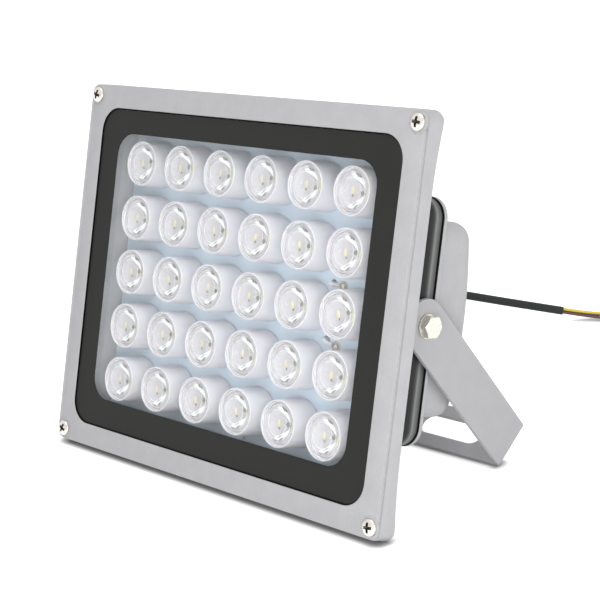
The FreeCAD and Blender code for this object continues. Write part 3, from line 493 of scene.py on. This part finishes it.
def baked(piece):
    # The modifiers' result becomes the piece's plain mesh
    graph = bpy.context.evaluated_depsgraph_get()
    mesh = bpy.data.meshes.new_from_object(piece.evaluated_get(graph))
    piece.modifiers.clear()
    piece.data = mesh
    mesh.name = piece.name
    return mesh


def applied(piece, sharp=35):
    # Baked, and smooth but for its sharp edges
    mesh = baked(piece)
    mesh.shade_smooth()
    mesh.set_sharp_from_angle(angle=math.radians(sharp))
    return piece


def evenlyShaded(piece):
    # Normals that follow the large faces, so that flat castings don't streak
    even = piece.modifiers.new("evenShading", "WEIGHTED_NORMAL")
    even.keep_sharp = True
    even.weight = 90
    baked(piece)


def cutOut(piece, tool, sharp=35):
    # The tool's shape is taken out of the piece, and the tool removed
    hollow = piece.modifiers.new("hollow", "BOOLEAN")
    hollow.operation = "DIFFERENCE"
    hollow.solver = "EXACT"
    hollow.object = tool
    applied(piece, sharp)
    bpy.data.objects.remove(tool)


def assigned(piece, body, slot=None, *replaced):
    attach(piece, body)
    if replaced:
        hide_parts(*replaced)


def settled(piece, slot=None, *replaced, place=leaned):
    # From millimetres into the row frame, and onto the head
    piece.data.transform(place @ Matrix.Scale(mm, 4))
    piece.data.update()
    assigned(piece, "head", slot, *replaced)


def reshapeFrame(mesh):
    # Tighter corners, and a groove that fades out round them, so that it shows only on the sides
    settings = {"halfWidth": 108.6, "halfHeight": 86.3, "corner": 8.0, "tightCorner": 4.6,
                "fade": (3.2, 6.5), "shoulder": 0.8, "foot": 1.9, "nearest": 0.5, "furthest": 3.0,
                "slack": (0.05, 0.1), "slope": 0.148}
    upright = leaned.inverted()
    corner, tight = settings["corner"], settings["tightCorner"]
    for vertex in mesh.vertices:
        place = (upright @ vertex.co) / mm
        acrossX = max(abs(place.x) - settings["halfWidth"] + corner, 0)
        acrossZ = max(abs(place.z) - settings["halfHeight"] + corner, 0)
        out = math.hypot(acrossX, acrossZ)
        if out == 0:
            continue
        inset = corner - out
        inGroove = settings["shoulder"] - settings["slack"][0] < place.y < settings["foot"]
        if inGroove and settings["nearest"] < inset < settings["furthest"] + settings["slack"][1]:
            plain = settings["shoulder"] + max(settings["furthest"] - inset, 0) * settings["slope"]
            place.y = plain + (place.y - plain) * (acrossX / out) ** 2
        shift = corner - tight
        c, s = acrossX / out, acrossZ / out
        reach = corner / max(c, s)
        if min(c, s) * reach > shift:
            along = shift * (c + s)
            reach = along + math.sqrt(max(along ** 2 - 2 * shift ** 2 + tight ** 2, 0))
        start, end = settings["fade"]
        share = min(max((end - inset) / (end - start), 0), 1)
        place.x += math.copysign((reach - corner) * c * share, place.x)
        place.z += math.copysign((reach - corner) * s * share, place.z)
        vertex.co = leaned @ (place * mm)


def keptInside(mesh, solid):
    # No vertex past the box of the solid that the piece stands for
    low = [min(corner[k] for corner in solid.bound_box) for k in range(3)]
    high = [max(corner[k] for corner in solid.bound_box) for k in range(3)]
    for vertex in mesh.vertices:
        vertex.co = [min(max(vertex.co[k], low[k]), high[k]) for k in range(3)]


def softened(node, name, finish, slot, edge, body="head", change=None, split=False):
    # A casting or pressing with small rounds on its edges, made from a merged copy of its CAD mesh.
    # split makes triangles of its flat faces first, so that a face with many notches doesn't fold.
    settings = {"merged": 0.002, "flat": 0.6, "sharp": 28}
    shape = bmesh.new()
    shape.from_mesh(nodes[node].data)
    bmesh.ops.remove_doubles(shape, verts=shape.verts, dist=settings["merged"] * mm)
    bmesh.ops.dissolve_limit(shape, angle_limit=math.radians(settings["flat"]), verts=shape.verts,
                             edges=shape.edges)
    if split:
        bmesh.ops.triangulate(shape, faces=shape.faces)
    mesh = meshOf(name, shape)
    if change:
        change(mesh)
    piece = asObject(name, mesh, finish)
    bevel = piece.modifiers.new("edges", "BEVEL")
    bevel.width = edge * mm
    bevel.segments = 2
    bevel.limit_method = "ANGLE"
    bevel.angle_limit = math.radians(settings["sharp"])
    bevel.use_clamp_overlap = False
    bevel.harden_normals = False
    keptInside(applied(piece).data, nodes[node])
    evenlyShaded(piece)
    assigned(piece, body, slot, node)


# ---- geometry node trees for what repeats

def startTree(name, inputs):
    tree = bpy.data.node_groups.new(name, "GeometryNodeTree")
    tree.is_modifier = True
    tree.interface.new_socket("Geometry", in_out="INPUT", socket_type="NodeSocketGeometry")
    sockets = {}
    for label, kind in inputs:
        socket = tree.interface.new_socket(label, in_out="INPUT", socket_type="NodeSocket" + kind)
        sockets[label] = socket.identifier
    tree.interface.new_socket("Geometry", in_out="OUTPUT", socket_type="NodeSocketGeometry")
    return tree, sockets, tree.nodes.new("NodeGroupInput"), tree.nodes.new("NodeGroupOutput")


def endTree(tree, given, out, points, template, finishes):
    # The template on every point, realized, and each of its material places gets its finish
    copies = tree.nodes.new("GeometryNodeInstanceOnPoints")
    tree.links.new(points, copies.inputs["Points"])
    tree.links.new(template, copies.inputs["Instance"])
    tree.links.new(randomTurn(tree, given), copies.inputs["Rotation"])
    solid = tree.nodes.new("GeometryNodeRealizeInstances")
    tree.links.new(copies.outputs["Instances"], solid.inputs["Geometry"])
    last = solid.outputs["Geometry"]
    for place, finish in enumerate(finishes):
        paint = tree.nodes.new("GeometryNodeSetMaterial")
        paint.inputs["Material"].default_value = finish
        if len(finishes) > 1:
            which = tree.nodes.new("GeometryNodeInputMaterialIndex")
            same = tree.nodes.new("FunctionNodeCompare")
            same.data_type = "INT"
            same.operation = "EQUAL"
            same.inputs[3].default_value = place
            tree.links.new(which.outputs[0], same.inputs[2])
            tree.links.new(same.outputs[0], paint.inputs["Selection"])
        tree.links.new(last, paint.inputs["Geometry"])
        last = paint.outputs["Geometry"]
    tree.links.new(last, out.inputs["Geometry"])


def randomTurn(tree, given):
    # A turn about the Y axis, up to Turn Spread either way
    chance = tree.nodes.new("FunctionNodeRandomValue")
    chance.data_type = "FLOAT"
    tree.links.new(mathNode(tree, "MULTIPLY", given.outputs["Turn Spread"], -1), chance.inputs[2])
    tree.links.new(given.outputs["Turn Spread"], chance.inputs[3])
    tree.links.new(given.outputs["Seed"], chance.inputs["Seed"])
    turn = tree.nodes.new("ShaderNodeCombineXYZ")
    tree.links.new(chance.outputs[1], turn.inputs["Y"])
    return turn.outputs["Vector"]


def gridOf(template, settings, finishes):
    # Columns and rows of the template's own mesh, in the plane of the window
    tree, sockets, given, out = startTree(template.name + "Grid", [
        ("Columns", "Int"), ("Rows", "Int"), ("Column Pitch", "Float"), ("Row Pitch", "Float"),
        ("Turn Spread", "Float"), ("Seed", "Int")])
    grid = tree.nodes.new("GeometryNodeMeshGrid")
    for pitch, count, size, vertices in (("Column Pitch", "Columns", "Size X", "Vertices X"),
                                         ("Row Pitch", "Rows", "Size Y", "Vertices Y")):
        fewer = mathNode(tree, "SUBTRACT", given.outputs[count], 1)
        tree.links.new(mathNode(tree, "MULTIPLY", given.outputs[pitch], fewer), grid.inputs[size])
        tree.links.new(given.outputs[count], grid.inputs[vertices])
    upright = tree.nodes.new("GeometryNodeTransform")
    upright.inputs["Rotation"].default_value = (math.radians(90), 0, 0)
    tree.links.new(grid.outputs["Mesh"], upright.inputs["Geometry"])
    endTree(tree, given, out, upright.outputs["Geometry"], given.outputs["Geometry"], finishes)
    runTree(template, tree, sockets, settings)


def spotsOf(name, template, spots, settings, finishes):
    # The template object on a handful of spots
    mesh = bpy.data.meshes.new(name)
    mesh.from_pydata(spots, [], [])
    piece = asObject(name, mesh)
    tree, sockets, given, out = startTree(name + "Spots", [
        ("Screw", "Object"), ("Turn Spread", "Float"), ("Seed", "Int")])
    source = tree.nodes.new("GeometryNodeObjectInfo")
    tree.links.new(given.outputs["Screw"], source.inputs["Object"])
    endTree(tree, given, out, given.outputs["Geometry"], source.outputs["Geometry"], finishes)
    runTree(piece, tree, sockets, dict(settings, screw=template))
    return piece


def runTree(piece, tree, sockets, settings):
    modifier = piece.modifiers.new(tree.name, "NODES")
    modifier.node_group = tree
    for label, identifier in sockets.items():
        key = label[0].lower() + label[1:].replace(" ", "")
        modifier[identifier] = settings[key]
    applied(piece)


# ---- the window: glass, printed border, board, holders, lenses and chips

def makeGlass(materials):
    settings = {"width": 195.0, "height": 151.7, "corner": 11.65, "front": 1.0, "back": 4.0,
                "seam": 0.25, "steps": 12}
    front, back, seam = settings["front"], settings["back"], settings["seam"]
    loops = []
    for inset, depth in ((seam, front), (0, front + seam), (0, back - seam), (seam, back)):
        loops.append(roundedLoop(settings["width"] - 2 * inset, settings["height"] - 2 * inset,
                                 settings["corner"] - inset, depth, settings["steps"]))
    mesh = loopedMesh("glassPane", loops)
    pane = asObject("glassPane", mesh, materials["windowGlass"])
    settled(pane, "window_glass", "glass_pane")


def ringPiece(name, settings, outline, finish):
    # A closed outline of (outside the rounded rectangle, depth) carried round it
    loops = [roundedLoop(settings["width"] + 2 * out, settings["height"] + 2 * out,
                         settings["corner"] + out, depth, settings["steps"])
             for out, depth in outline]
    return asObject(name, loopedMesh(name, loops, joined=True), finish)


def makeGasket(materials):
    settings = {
        "width": 193.7, "height": 150.4, "corner": 11.0, "steps": 12,
        "outline": [(-0.1, 0.34), (-0.03, 0.3), (-0.03, 0.62), (2.0, 0.62), (2.0, 4.68),
                    (-1.3, 4.68), (-1.3, 4.02), (0.7, 4.02), (0.7, 0.98), (-0.55, 0.98),
                    (-0.55, 0.88), (-0.12, 0.84)]}
    gasket = ringPiece("glassGasket", settings, settings["outline"], materials["gasketRubber"])
    settled(gasket, "black_rubber", "glass_gasket")


def makeBorder(materials):
    # Printed on the front of the glass; the clear part sits a little above the middle
    settings = {"width": 192.5, "height": 149.2, "corner": 10.4, "clearWidth": 168.0,
                "clearHeight": 125.4, "clearCorner": 10.5, "up": 1.1, "front": 0.93, "back": 0.995,
                "steps": 16}
    outer = (settings["width"], settings["height"], settings["corner"])
    inner = (settings["clearWidth"], settings["clearHeight"], settings["clearCorner"])
    loops = []
    for size, up, depth in ((outer, 0, "front"), (outer, 0, "back"),
                            (inner, settings["up"], "back"), (inner, settings["up"], "front")):
        loop = roundedLoop(*size, settings[depth], settings["steps"])
        loops.append([point + Vector((0, 0, up)) for point in loop])
    mesh = loopedMesh("printedBorder", loops, joined=True)
    border = asObject("printedBorder", mesh, materials["borderPrint"])
    settled(border, "printed_border", "border_print")


lensGrid = {"columns": 6, "rows": 5, "columnPitch": 27.3, "rowPitch": 25.4,
            "turnSpread": 0.0, "seed": 3}


def inEveryPlace(mesh, finishes, materials, slot=None, *replaced, **own):
    # One piece, with the mesh at each lens place
    piece = asObject(mesh.name, mesh)
    gridOf(piece, dict(lensGrid, **own), withFinishes(mesh, finishes, materials))
    settled(piece, slot, *replaced)


def makeHolders(materials):
    settings = {
        "segments": 48,
        "outline": [(4.6, 18.6), (9.8, 18.6), (9.8, 18.0), (10.72, 18.0), (10.8, 17.9),
                    (10.35, 4.48), (10.27, 4.29), (10.07, 4.2), (9.87, 4.22), (9.75, 4.38),
                    (9.75, 17.0), (9.35, 17.4), (4.6, 17.4)]}
    cup = lathe("lensHolders", settings["outline"], settings["segments"])
    names = ["lens_holder_%d_%d" % (row + 1, column + 1)
             for row in range(lensGrid["rows"]) for column in range(lensGrid["columns"])]
    inEveryPlace(cup, ["holderPlastic"], materials, "holder_plastic", *names)


def makeLenses(materials):
    # Collimator: flat face with two faint steps, a bulged recess over the chip and a faceted cone
    settings = {
        "clear": 8.7, "segments": 40,
        "front": [(0, 5.18), (1.6, 5.22), (3.3, 5.3), (3.5, 5.5), (3.7, 5.3), (7.2, 5.3),
                  (7.35, 5.65), (7.6, 5.3), (8.3, 5.3), (8.5, 5.6), (8.75, 5.1), (9.65, 5.1)],
        "cone": [(9.65, 6.1), (9.3, 6.5), (8.5, 8.6), (7.4, 11.2), (6.1, 14.0), (4.6, 16.7)],
        "back": [(4.2, 17.1), (2.9, 17.1), (2.9, 13.5), (1.74, 12.9), (0, 12.6)]}
    outline = settings["front"] + settings["cone"] + settings["back"]
    mesh = lathe("lensArray", outline, settings["segments"])
    for polygon in mesh.polygons:
        middle = polygon.center
        behind = middle.y > settings["cone"][0][1]
        outside = math.hypot(middle.x, middle.z) > settings["clear"]
        polygon.material_index = 1 if behind or outside else 0
    inEveryPlace(mesh, ["clearLens", "lensCone"], materials, "clear_lens", "lenses")


def makeGlints(materials):
    # Painted image of the chip close under each lens face, as the lens shows it: a cream spot, a
    # dark one below, a grey one aside, a small phosphor spot and a glowing white glint
    settings = {
        "segments": 14,
        "spots": [((-0.7, 6.3, 0.1), (0.95, 0.2, 1.75), "chipCream"),
                  ((-0.1, 6.3, -1.9), (0.55, 0.2, 0.6), "chipShade"),
                  ((-0.7, 6.0, -0.9), (0.25, 0.1, 0.4), "chipPhosphor"),
                  ((5.0, 6.4, 0.2), (1.05, 0.2, 1.0), "chipShade"),
                  ((5.1, 6.1, 0.3), (0.6, 0.1, 0.55), "sparkWhite")]}
    angles = [math.pi * k / 6 for k in range(1, 6)]
    outline = [(0, -1)] + [(math.sin(a), -math.cos(a)) for a in angles] + [(0, 1)]
    body = bmesh.new()
    for index, (place, size, _) in enumerate(settings["spots"]):
        spot = lathe("spot", outline, settings["segments"])
        spot.transform(Matrix.Translation(place) @ Matrix.Diagonal((*size, 1)))
        addPart(body, spot, index)
    finishes = [finish for place, size, finish in settings["spots"]]
    inEveryPlace(meshOf("chipGlints", body), finishes, materials, turnSpread=0.3, seed=6)


def makePaintedLensGlints(materials):
    # Painted highlights and reflections inside each lens: glowing bright slivers right of its
    # middle and the dark breaks across them, glowing rings, a yellow crescent at the rim and a pale
    # bowl standing for the cone's reflection
    settings = {
        "depth": 6.0, "thickness": 0.12, "breakRise": 0.2, "ringDrop": 0.3, "ringSides": 40,
        "rings": [(-1.5, 7.6, 7.8), (-1.7, 5.45, 5.7)],  # across, inner and outer radius
        "bowl": [(0, 7.6), (3.0, 7.45), (5.5, 7.1), (7.6, 6.75), (8.9, 6.5), (8.9, 6.6),
                 (7.6, 6.9), (5.5, 7.3), (3.0, 7.65), (0, 7.8)],
        "slivers": [
            [(-3.3, 6.9), (-1.0, 7.6), (1.9, 6.7), (4.6, 4.5), (7.0, 1.4), (4.1, 3.3), (1.1, 5.0)],
            [(-3.3, -7.0), (-0.4, -5.4), (2.6, -3.8), (6.8, -0.9), (5.0, -4.0), (2.2, -6.4),
             (-0.8, -7.6)]],
        "breaks": [
            [(-0.2, 7.6), (0.9, 7.5), (2.6, 5.9), (1.7, 5.9)],
            [(1.5, 7.4), (2.4, 7.1), (3.6, 5.7), (2.9, 5.7)],
            [(1.1, 4.9), (4.0, 3.2), (6.6, 1.3), (4.0, 2.9)],
            [(-0.6, -6.5), (1.6, -4.8), (3.2, -3.9), (1.3, -5.5)],
            [(0.7, -7.2), (2.2, -5.7), (3.4, -5.2), (2.3, -6.6)],
            [(-3.2, -7.3), (-0.8, -7.9), (2.2, -6.7), (-0.6, -7.65)]],
        "crescent": [
            [(7.2, 2.4), (8.1, 1.3), (8.4, 0), (8.1, -1.3), (7.2, -2.4), (7.6, -1.2), (7.8, 0),
             (7.6, 1.2)]]}
    body = bmesh.new()
    addPart(body, lathe("bowl", settings["bowl"], settings["ringSides"]), 3)
    near = settings["depth"] + settings["ringDrop"]
    far = near + settings["thickness"]
    for across, inner, outer in settings["rings"]:
        outline = [(inner, near), (outer, near), (outer, far), (inner, far)]
        ring = lathe("ring", outline, settings["ringSides"])
        ring.transform(Matrix.Translation((across, 0, 0)))
        addPart(body, ring, 0)
    for index, key in enumerate(("slivers", "breaks", "crescent")):
        front = settings["depth"] - settings["breakRise"] * min(index, 1)
        for shape in settings[key]:
            loops = [[(x, depth, z) for x, z in shape]
                     for depth in (front, front + settings["thickness"])]
            for face in bridged(body, loops):
                face.material_index = index
    finishes = ["sparkWhite", "chipShade", "crescentYellow", "lensMirror"]
    inEveryPlace(closedMesh("lensSparks", body), finishes, materials, turnSpread=0.06, seed=9)


def makeChips(materials):
    # White base, round phosphor and a clear dome, in three finishes
    settings = {"board": 18.6, "half": 1.8, "height": 0.9, "edge": 0.12, "phosphor": 1.15,
                "phosphorHeight": 0.12, "dome": 1.3, "domeSteps": 5, "above": (0.005, 0.01),
                "segments": 20}
    half, phosphor, dome = settings["half"], settings["phosphor"], settings["dome"]
    top = settings["board"] - settings["height"]
    discTop = top - settings["phosphorHeight"]
    discFoot, domeFoot = (top - above for above in settings["above"])
    body = bmesh.new()
    bmesh.ops.create_cube(body, size=1)
    for vertex in body.verts:
        vertex.co = Vector((vertex.co.x * 2 * half, top + (vertex.co.y + 0.5) * settings["height"],
                            vertex.co.z * 2 * half))
    bmesh.ops.bevel(body, geom=body.edges[:], offset=settings["edge"], segments=1, affect="EDGES")
    outline = [(0, discTop), (phosphor, discTop), (phosphor, discFoot), (0, discFoot)]
    addPart(body, lathe("disc", outline, settings["segments"]), 1)
    steps = settings["domeSteps"]
    angles = [math.radians(90 * k / steps) for k in range(1, steps)]
    outline = [(0, top - dome)] + [(dome * math.sin(a), top - dome * math.cos(a)) for a in angles]
    outline += [(dome, domeFoot), (0, domeFoot)]
    addPart(body, lathe("dome", outline, settings["segments"]), 2)
    finishes = ["chipCeramic", "chipPhosphor", "chipDome"]
    inEveryPlace(meshOf("ledChips", body), finishes, materials, "led_chip", "led_chips")


def makeSolder(materials):
    settings = {
        "board": 18.6, "sunk": 0.01, "spots": [(56.7, 10.1), (56.2, -15.4)], "segments": 32,
        "blob": [(0, -1.3), (0.45, -1.26), (0.9, -1.08), (1.25, -0.72), (1.5, -0.3), (1.7, 0),
                 (0, 0)],
        "ring": [(1.5, -0.05), (2.1, -0.07), (2.5, -0.03), (2.6, 0), (1.5, 0)]}
    for name, finish, key, owner in (("solderBlobs", "solder", "blob", ["solder", "solder_joints"]),
                                     ("fluxRings", "flux", "ring", [])):
        outline = [(radius, settings["board"] + depth - settings["sunk"])
                   for radius, depth in settings[key]]
        template = asObject(name + "One", lathe(name, outline, settings["segments"]))
        spots = [(x, 0, z) for x, z in settings["spots"]]
        piece = spotsOf(name, template, spots, {"turnSpread": 1.0, "seed": 5}, [materials[finish]])
        bpy.data.objects.remove(template)
        settled(piece, *owner)


# ---- screws and bolts

def makeScrewTemplate(name, size, materials):
    # Pan head with a rounded rim and a tapered cross recess, and a plain shank, seated at depth 0
    shares = {"cap": 0.55, "edge": 0.07, "lip": 0.4, "reach": 0.6, "wide": 0.165, "deep": 0.72,
              "near": 1.05, "under": 0.03}
    settings = {"rings": 8, "sides": 40, "rise": 0.02, "point": 0.4}
    radius, height, shank, length = size
    cap = shares["cap"] * height
    ball = (radius ** 2 + cap ** 2) / (2 * cap)
    outline = [(0, -height)]
    for k in range(1, settings["rings"]):
        r = radius * k / settings["rings"]
        outline.append((r, ball - height - math.sqrt(ball ** 2 - r ** 2)))
    edge, point, rim = shares["edge"] * radius, settings["point"], cap - height
    outline += [(radius - edge * shares["lip"], rim + settings["rise"]), (radius, rim + edge),
                (radius, -edge), (radius - edge, 0), (shank, 0), (shank, length - point),
                (shank - point, length), (0, length)]
    head = asObject(name, lathe(name, outline, settings["sides"]))
    reach, wide, deep = shares["reach"] * radius, shares["wide"] * radius, shares["deep"] * height
    cutter = asObject(name + "Cross", crossMesh(name + "Cross", reach, wide, height, deep))
    withFinishes(head.data, ("nickelScrew", "recessShade"), materials)
    cutOut(head, cutter)
    for polygon in head.data.polygons:
        middle = polygon.center
        r = math.hypot(middle.x, middle.z)
        dome = ball - height - math.sqrt(max(ball ** 2 - r ** 2, 0))
        inside = r < reach * shares["near"] and dome + shares["under"] * height < middle.y < 0
        polygon.material_index = 1 if inside else 0
    return head


def crossMesh(name, reach, wide, height, deep):
    # Four wings that narrow as they go down: shares of the reach and the width, and the depth
    levels = [(1.12, 1.3, -1.4 * height), (1, 1, -0.8 * height), (0.5, 0.55, deep - height)]
    loops = []
    for far, broad, depth in levels:
        size, half = reach * far, wide * broad
        corners = [(size, half), (half, half), (half, size), (-half, size), (-half, half),
                   (-size, half)]
        corners += [(-x, -z) for x, z in corners]
        loops.append([Vector((x, depth, z)) for x, z in corners])
    return loopedMesh(name, loops)


def crossed(across, up):
    return [(x, z) for x in across for z in up]


def makeScrews(materials):
    # size is radius, height, shank and length; seat is a depth
    sets = {
        "frameScrews": {
            "size": (3.6, 1.89, 2.0, 7.3), "seat": 0.4, "back": False, "node": "frame_screws",
            "spots": crossed((102.5, -102.5), (80.65, -80.65)), "turnSpread": 0.42, "seed": 11},
        "boardScrews": {
            "size": (2.7, 1.6, 1.5, 5.9), "seat": 18.6, "back": False, "node": "board_screws",
            "spots": crossed((85.5, -85.5), (69.0, -69.0)), "turnSpread": 0.7, "seed": 4},
        "coverScrews": {
            "size": (2.8, 1.7, 1.5, 10.4), "seat": 34.4, "back": True, "node": "cover_screws",
            "spots": crossed((80.0, -80.0, 0), (45.9, -45.9)), "turnSpread": 0.7, "seed": 8},
        "driverScrews": {
            "size": (2.7, 1.6, 1.5, 5.0), "seat": 26.0, "back": True, "node": "driver_screws",
            "spots": [(-30.0, 28.5), (30.0, -28.5)], "turnSpread": 0.7, "seed": 2},
    }
    flip = Matrix.Rotation(math.pi, 4, "X")
    finishes = [materials["nickelScrew"], materials["recessShade"]]
    for name, settings in sets.items():
        template = makeScrewTemplate(name + "One", settings["size"], materials)
        way = -1 if settings["back"] else 1
        spots = [(x, way * settings["seat"], way * z) for x, z in settings["spots"]]
        piece = spotsOf(name, template, spots, settings, finishes)
        bpy.data.objects.remove(template)
        place = leaned @ flip if settings["back"] else leaned
        settled(piece, "nickel_screw", settings["node"], place=place)


# ---- rubber seal

def makeSeal(materials):
    settings = {
        "width": 183.0, "height": 97.4, "corner": 5.7, "steps": 10,
        "bossX": 94, "bossDepth": 24.5, "bossRadius": 6.5, "bossHalf": 8, "bossSides": 32,
        # The outline ends in a notch and a black lip over the flange's face: painted shade for the
        # shadowed gap beside the flange
        "outline": [(0.1, 23.05), (1.0, 23.05), (1.75, 23.5), (2.35, 24.3), (2.75, 25.3),
                    (3.0, 26.4), (3.1, 27.5), (3.1, 28.6), (3.08, 29.6), (3.02, 30.4),
                    (2.95, 30.9), (2.75, 31.25), (3.42, 31.3), (3.45, 31.72), (0.1, 31.72)]}
    seal = ringPiece("sealBead", settings, settings["outline"], materials["sealRubber"])
    radius, half = settings["bossRadius"], settings["bossHalf"]
    for side in (1, -1):
        outline = [(0, -half), (radius, -half), (radius, half), (0, half)]
        hole = asObject("bossHole", lathe("bossHole", outline, settings["bossSides"]))
        middle = Matrix.Translation((side * settings["bossX"], settings["bossDepth"], 0))
        hole.data.transform(middle @ Matrix.Rotation(math.radians(90), 4, "Z"))
        cutOut(seal, hole, sharp=50)
    settled(seal, "black_rubber", "driver_seal")


# ---- castings, bracket, gland and bolts

def makeCastings(materials):
    rows = [
        # node, name, finish, slot, what else softened takes
        ("front_frame", "frontFrame", "castingPaint", "grey_casting",
         {"edge": 0.18, "change": reshapeFrame}),
        ("lamp_body", "lampBody", "castingPaint", "grey_casting", {"edge": 0.2, "split": True}),
        ("driver_cover", "driverCover", "castingPaint", "grey_casting",
         {"edge": 0.25, "split": True}),
        ("bracket", "tiltBracket", "stripPaint", "grey_strip", {"edge": 0.3, "body": "bracket"}),
        ("gland_body", "glandBody", "blackNylon", "black_nylon", {"edge": 0.3}),
        ("gland_cap", "glandCap", "blackNylon", "black_nylon", {"edge": 0.25, "split": True}),
        ("pivot_bolt_right", "pivotBoltRight", "nickelBolt", "nickel_bolt", {"edge": 0.18}),
        ("pivot_washer_right", "pivotWasherRight", "nickelBolt", "nickel_bolt", {"edge": 0.15}),
        ("pivot_bolt_left", "pivotBoltLeft", "nickelBolt", "nickel_bolt", {"edge": 0.18}),
        ("pivot_washer_left", "pivotWasherLeft", "nickelBolt", "nickel_bolt", {"edge": 0.15}),
    ]
    for node, name, finish, slot, more in rows:
        softened(node, name, materials[finish], slot, **more)


def dressNodes(materials):
    # Pieces that keep their CAD mesh
    finishes = {"led_board": "boardCoat", "led_leads": "whiteWire",
                "driver": "driverCase", "gland_seal": "blackRubber", "inner_cable": "cableSheath"}
    for node, finish in finishes.items():
        for slot in nodes[node].material_slots:
            slot.material = materials[finish]


# ---- cable and cores

cordSettings = {
    "power_cable": {
        "name": "powerCable", "finish": "cableSheath", "slot": "cable_sheath",
        "radius": 2.2, "length": 0.1935,
        "route": [(-58.0, 41.69, 61.51), (-58.0, 73.95, 50.77), (-58.0, 113.4, 36.7),
                  (-54.3, 143.7, 27.5), (-41.2, 162.4, 20.7), (-16.4, 181.4, 12.8),
                  (7.0, 199.3, 5.8)]},
    "core_yellow_green": {
        "name": "coreYellowGreen", "finish": "coreYellow", "slot": "core_yellow_green",
        "radius": 0.75, "length": 0.0457,
        "route": [(7.19, 199.45, 6.82), (14.15, 204.77, 4.74), (25.0, 211.4, 3.1),
                  (36.5, 217.2, 1.6), (46.5, 221.5, 0.8)]},
    "core_brown": {
        "name": "coreBrown", "finish": "coreBrown", "slot": "core_brown",
        "radius": 0.75, "length": 0.0422,
        "route": [(7.46, 198.5, 5.29), (14.41, 203.82, 3.21), (24.5, 208.6, 1.9),
                  (35.5, 212.8, 0.9), (45.5, 214.8, 0.8)]},
    "core_blue": {
        "name": "coreBlue", "finish": "coreBlue", "slot": "core_blue",
        "radius": 0.75, "length": 0.0449,
        "route": [(6.35, 199.95, 5.29), (13.31, 205.27, 3.21), (22.5, 212.8, 1.9),
                  (31.5, 220.8, 0.9), (39.5, 229.6, 0.8)]},
}


def makeCord(node, materials):
    settings = cordSettings[node]
    curve = bpy.data.curves.new(settings["name"], "CURVE")
    curve.dimensions = "3D"
    spline = curve.splines.new("NURBS")
    spline.points.add(len(settings["route"]) - 1)
    for point, place in zip(spline.points, settings["route"]):
        point.co = (*(value * mm for value in place), 1)
    spline.order_u = 3
    spline.use_endpoint_u = True
    spline.resolution_u = 12
    curve.bevel_depth = settings["radius"] * mm
    curve.bevel_resolution = 5
    curve.use_fill_caps = True
    cord = asObject(settings["name"], curve, materials[settings["finish"]])
    assigned(cord, "head", settings["slot"], node)
    return cord


def makeCopperEnds(materials):
    # Seven fine strands with a slight twist at the end of each core
    settings = {"bundle": 0.3, "strand": 0.14, "length": 6.0, "twist": 1.6, "steps": 8, "sides": 6}
    turns = [2 * math.pi * k / settings["sides"] for k in range(settings["sides"])]
    body = bmesh.new()
    for node in ("core_yellow_green", "core_brown", "core_blue"):
        before, end = (Vector(p) for p in cordSettings[node]["route"][-2:])
        along = (end - before).normalized()
        side = along.cross(Vector((0, 0, 1))).normalized()
        up = side.cross(along)
        for strand in range(7):
            offset = 0 if strand == 6 else settings["bundle"]
            loops = []
            for k in range(settings["steps"] + 1):
                share = k / settings["steps"]
                angle = math.radians(60 * strand) + settings["twist"] * share
                middle = end + along * (settings["length"] * share)
                middle += (side * math.cos(angle) + up * math.sin(angle)) * offset
                loops.append([middle + (side * math.cos(a) + up * math.sin(a)) * settings["strand"]
                              for a in turns])
            bridged(body, loops)
    strands = asObject("copperEnds", closedMesh("copperEnds", body), materials["copper"])
    strands.data.shade_smooth()
    strands.data.set_sharp_from_angle(angle=math.radians(50))
    settled(strands, "copper_strand", "core_ends", place=Matrix.Identity(4))
    return strands


def makeCords(materials):
    cords = {node: makeCord(node, materials) for node in cordSettings}
    strands = makeCopperEnds(materials)


print("camera, light and floor")
bpy.context.scene.view_settings.view_transform = "Standard"
makeCamera()
makeLights()
makeFloor()

print("materials")
materials = makeMaterials()

print("cable and cores")
makeCords(materials)

print("castings, bracket and bolts")
makeCastings(materials)
dressNodes(materials)
makeSeal(materials)

print("window, holders, lenses and chips")
makeGlass(materials)
makeGasket(materials)
makeBorder(materials)
makeHolders(materials)
makeLenses(materials)
makeGlints(materials)
makePaintedLensGlints(materials)
makeChips(materials)
makeSolder(materials)

print("screws")
makeScrews(materials)
